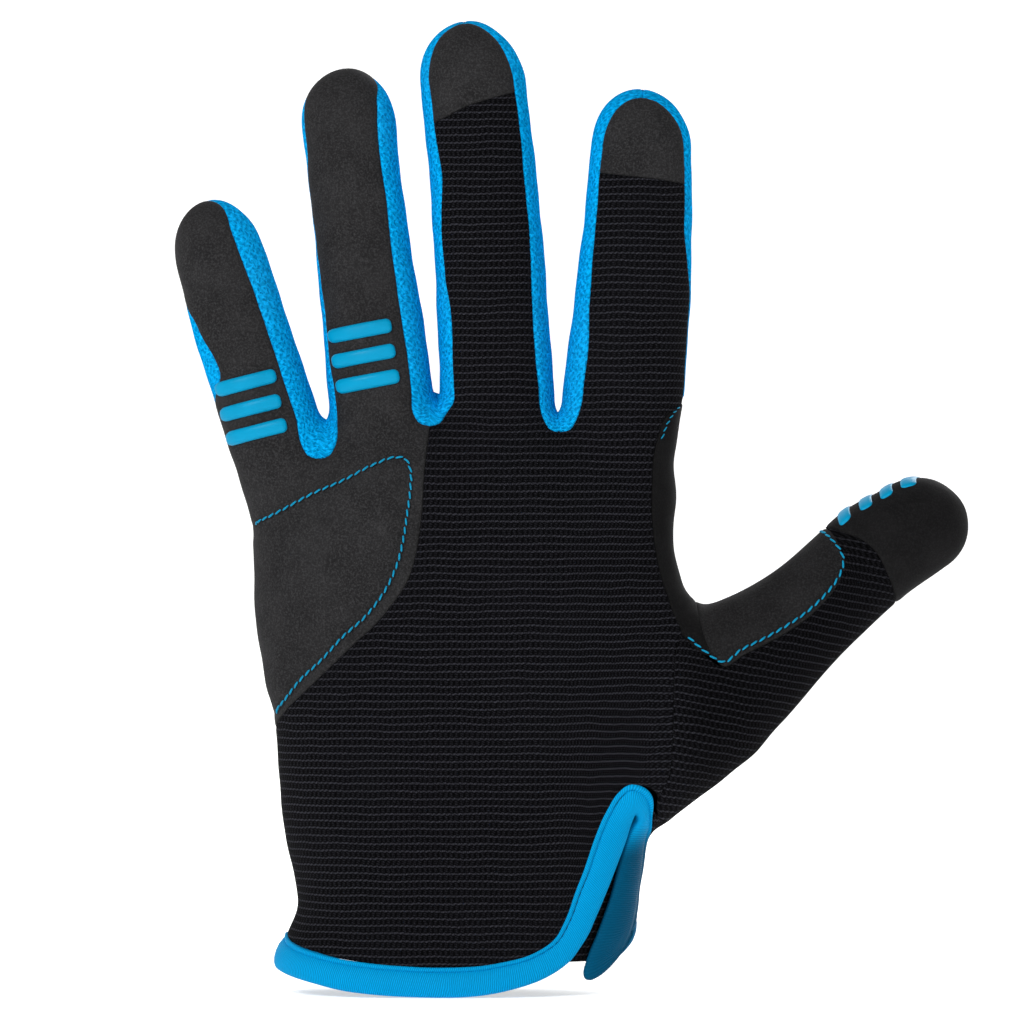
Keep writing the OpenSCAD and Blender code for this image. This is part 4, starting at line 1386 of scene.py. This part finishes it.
def finish_tape(c):
    t, shader = principled("tape", tone(c.tape), Roughness=0.55, Specular_IOR_Level=0.03)
    cord = place_group(t, "taped_cloth", Cloth=on_cloth(t))
    wear = place_group(t, "wear", Place=in_place(t))
    base = t.mix(cord["Cords"], tone(c.tape, 0.62), tone(c.tape, 1.12))
    base = t.mix(t.math("MULTIPLY", wear["Mask"], 0.15), base, tone(c.tape, 0.78))
    # painted shade: points with a shade value go towards 0.16 of the tape's colour
    base = t.mix(t.math("MULTIPLY", shade_of(t), 0.93), base, tone(c.tape, 0.16))
    link_up(t, shader, base, t.range(cord["Cords"], 0, 1, 0.7, 0.5), cord["Height"], 0.6, 0.0001)


def finish_rubber(c):
    t, shader = principled("grip_rubber", tone(c.rubber), Roughness=0.42, Specular_IOR_Level=0.08)
    place = in_place(t)
    nap = place_group(t, "nap", Place=place)
    wear = place_group(t, "wear", Place=place)
    base = t.mix(t.math("MULTIPLY", nap["Mottle"], 0.5), tone(c.rubber), tone(c.rubber, 1.15))
    base = t.mix(t.math("MULTIPLY", wear["Mask"], 0.2), base, tone(c.rubber, 0.85))
    link_up(t, shader, base, t.range(wear["Mask"], 0, 1, 0.38, 0.5), nap["Height"], 0.12, 0.0001)


def finish_thread(c):
    t, shader = principled("thread", tone(c.thread), Roughness=0.6, Specular_IOR_Level=0.1)
    cord = place_group(t, "taped_cloth", Cloth=on_cloth(t))
    wear = place_group(t, "wear", Place=in_place(t))
    base = t.mix(cord["Cords"], tone(c.thread, 0.75), tone(c.thread, 1.1))
    base = t.mix(t.math("MULTIPLY", wear["Mask"], 0.2), base, tone(c.thread, 0.8))
    link_up(t, shader, base, None, cord["Height"], 0.4, 0.00005)


def finish_foam(c):
    t, shader = principled("foam", (0.09, 0.09, 0.1, 1), Roughness=0.9)
    nap = place_group(t, "nap", Place=in_place(t))
    base = t.mix(nap["Mottle"], (0.07, 0.07, 0.08, 1), (0.13, 0.13, 0.14, 1))
    link_up(t, shader, base, None, nap["Height"], 0.6, 0.0003)


# ---- settings, operators and panel ----

def size_property(name, default, low, high, about):
    return bpy.props.FloatProperty(
        name=name, description=about, default=default, min=low, max=high, unit="LENGTH")


def colour_property(name, default, about):
    return bpy.props.FloatVectorProperty(
        name=name, description=about, subtype="COLOR", default=default, min=0, max=1)


class GloveSizes(bpy.types.PropertyGroup):
    """Sizes that a maker would change."""

    cloth: size_property("Cloth", 0.0009, 0.0004, 0.002, "Thickness of a sewn panel")
    tape: size_property("Tape", 0.0009, 0.0004, 0.002, "Thickness of the binding on each face of the cuff")
    thread: size_property("Thread", 0.0005, 0.0003, 0.001, "Diameter of the sewing thread")
    bar_height: size_property("Bar height", 0.0009, 0.0005, 0.002, "Height of a grip bar above the suede")


class GloveColours(bpy.types.PropertyGroup):
    """Colours of the cloths and trims."""

    knit: colour_property("Knit", (0.0036, 0.0036, 0.0045), "Ribbed knit of the back")
    suede: colour_property("Suede", (0.0135, 0.0133, 0.0138), "Suede of the palm and patches")
    mesh: colour_property("Mesh", (0.0, 0.33, 0.72), "Mesh between the fingers")
    tape: colour_property("Tape", (0.0, 0.3, 0.63), "Binding round the cuff")
    rubber: colour_property("Rubber", (0.0, 0.24, 0.43), "Grip bars")
    thread: colour_property("Thread", (0.002, 0.24, 0.42), "Contrast stitching")


class GLOVE_OT_finishes(bpy.types.Operator):
    """Mix the finishes: knit, suede, mesh, tape, rubber, thread and foam"""

    bl_idname = "glove.finishes"
    bl_label = "Mix finishes"

    def execute(self, context):
        vector, value = "NodeSocketVector", "NodeSocketFloat"
        cloth, place = ("Cloth", vector, None), ("Place", vector, None)
        for name, inputs, outputs, fill in (
            ("ribbed_cloth", [cloth, ("Rib pitch", value, RIB_PITCH)], ("Height", "Lines", "Loops"), ribbed),
            ("mesh_cloth", [cloth], ("Height", "Dimples", "Fuzz"), mesh_knit),
            ("taped_cloth", [cloth], ("Height", "Cords"), taped),
            ("nap", [place], ("Height", "Fibres", "Mottle"), speckle),
            ("wear", [place], ("Mask",), worn),
        ):
            group(name, inputs, [(word, value) for word in outputs], fill)
        colours = context.scene.glove_colours
        for finish in (finish_knit, finish_suede, finish_mesh, finish_tape, finish_rubber, finish_thread, finish_foam):
            finish(colours)
        return {"FINISHED"}


class GLOVE_OT_hand(bpy.types.Operator):
    """Sew the hand: knit back, suede side with its foam, index edge and palm with its pads"""

    bl_idname = "glove.hand"
    bl_label = "Sew hand"

    def execute(self, context):
        make_back()
        make_side_back()
        make_index_edge()
        make_palm()
        return {"FINISHED"}


class GLOVE_OT_fingers(bpy.types.Operator):
    """Sew the four fingers: back, tip cap, palm and the mesh on both sides"""

    bl_idname = "glove.fingers"
    bl_label = "Sew fingers"

    def execute(self, context):
        for name in FINGERS:
            make_finger_back(name)
            make_finger_palm(name)
            make_finger_side(name, 0)
            make_finger_side(name, 1)
        return {"FINISHED"}


class GLOVE_OT_thumb(bpy.types.Operator):
    """Sew the thumb: knit back, suede patch, palm side and tip cap"""

    bl_idname = "glove.thumb"
    bl_label = "Sew thumb"

    def execute(self, context):
        make_thumb()
        return {"FINISHED"}


class GLOVE_OT_cuff(bpy.types.Operator):
    """Bind the cuff and its slit, and set the insert behind it"""

    bl_idname = "glove.cuff"
    bl_label = "Bind cuff"

    def execute(self, context):
        make_tape()
        make_wrist_side()
        return {"FINISHED"}


class GLOVE_OT_bars(bpy.types.Operator):
    """Mould the grip bars on the ring finger, little finger and thumb"""

    bl_idname = "glove.bars"
    bl_label = "Mould grip bars"

    def execute(self, context):
        make_bars()
        return {"FINISHED"}


class GLOVE_OT_stitching(bpy.types.Operator):
    """Run the contrast stitching and the tape's top stitch"""

    bl_idname = "glove.stitching"
    bl_label = "Stitch"

    def execute(self, context):
        make_stitches()
        return {"FINISHED"}


class GLOVE_OT_stage(bpy.types.Operator):
    """Set the pale floor with its swept-up back, the soft lights and the camera"""

    bl_idname = "glove.stage"
    bl_label = "Set stage"

    def execute(self, context):
        run, x = np.linspace(0, 3, 60), np.linspace(-7, 7, 3)
        bend = np.clip((run - 1.2) / 0.9, 0, 1) * math.pi / 2
        y = np.where(run < 1.2, -7.0 + 8.2 * run / 1.2, 1.2 + 0.9 * np.sin(bend))
        z = np.where(run < 1.2, 0, 0.9 * (1 - np.cos(bend)) + np.maximum(run - 2.1, 0) * 2.2)
        points = np.stack([np.repeat(x[None], 60, 0), np.repeat(y[:, None], 3, 1), np.repeat(z[:, None], 3, 1)], -1)
        faces = cells(np.arange(180).reshape(60, 3))
        floor = build("studio_floor", points.reshape(-1, 3) / MM, faces.tolist())
        principled(
            "studio_paper", (0.9, 0.9, 0.9, 1), Roughness=0.9, Emission_Color=(1, 1, 1, 1), Emission_Strength=0.55)
        floor.data.materials.append(bpy.data.materials["studio_paper"])

        def light(name, place, target, size, power):
            data = bpy.data.lights.new(name, "AREA")
            data.shape, data.size, data.energy = "DISK", size, power
            lamp = bpy.data.objects.new(name, data)
            lamp.location = place
            way = np.array(target) - np.array(place)
            lamp.rotation_euler = Vector(way).to_track_quat("-Z", "Y").to_euler()
            lamp.visible_camera = False
            context.scene.collection.objects.link(lamp)

        light("key", (-0.75, -1.3, 1.0), (0, 0, 0.11), 0.6, 22)
        light("fill", (0.5, -1.6, 0.3), (0, 0, 0.11), 0.9, 4)
        light("back", (0.5, 0.95, 0.8), (0, 0, 0.1), 0.8, 10)
        world = bpy.data.worlds.new("studio")
        world.use_nodes = True
        world.node_tree.nodes["Background"].inputs[0].default_value = (1, 1, 1, 1)
        sky = Tree(world.node_tree)
        seen = sky.node("ShaderNodeLightPath", out=0)
        strength = sky.math("MULTIPLY_ADD", seen, 1.5, 0.22)
        world.node_tree.links.new(strength, world.node_tree.nodes["Background"].inputs[1])
        context.scene.world = world
        context.scene.view_settings.view_transform = "Standard"
        data = bpy.data.cameras.new("camera")
        data.sensor_width, data.lens = 36, 36 * 1.6 / 0.23224
        data.clip_end = 20
        camera = bpy.data.objects.new("camera", data)
        camera.location = (0.01406, -1.6, 0.10886)
        camera.rotation_euler = (math.pi / 2, 0, 0)
        context.scene.collection.objects.link(camera)
        context.scene.camera = camera
        return {"FINISHED"}


OPERATORS = (
    GLOVE_OT_stage, GLOVE_OT_finishes, GLOVE_OT_hand, GLOVE_OT_fingers, GLOVE_OT_thumb, GLOVE_OT_cuff, GLOVE_OT_bars,
    GLOVE_OT_stitching,
)


class GLOVE_PT_maker(bpy.types.Panel):
    """Sizes, colours and steps of the glove"""

    bl_label = "Sailing glove"
    bl_space_type = "VIEW_3D"
    bl_region_type = "UI"
    bl_category = "Glove"

    def draw(self, context):
        for settings in (context.scene.glove_sizes, context.scene.glove_colours):
            box = self.layout.box()
            for key in settings.__annotations__:
                box.prop(settings, key)
        for operator in OPERATORS:
            self.layout.operator(operator.bl_idname)


CLASSES = (GloveSizes, GloveColours, *OPERATORS, GLOVE_PT_maker)


def register():
    for each in CLASSES:
        bpy.utils.register_class(each)
    bpy.types.Scene.glove_sizes = bpy.props.PointerProperty(type=GloveSizes)
    bpy.types.Scene.glove_colours = bpy.props.PointerProperty(type=GloveColours)


def unregister():
    del bpy.types.Scene.glove_colours
    del bpy.types.Scene.glove_sizes
    for each in reversed(CLASSES):
        bpy.utils.unregister_class(each)


def main():
    register()
    for operator in OPERATORS:
        space, name = operator.bl_idname.split(".")
        getattr(getattr(bpy.ops, space), name)()


if __name__ == "__main__":
    main()
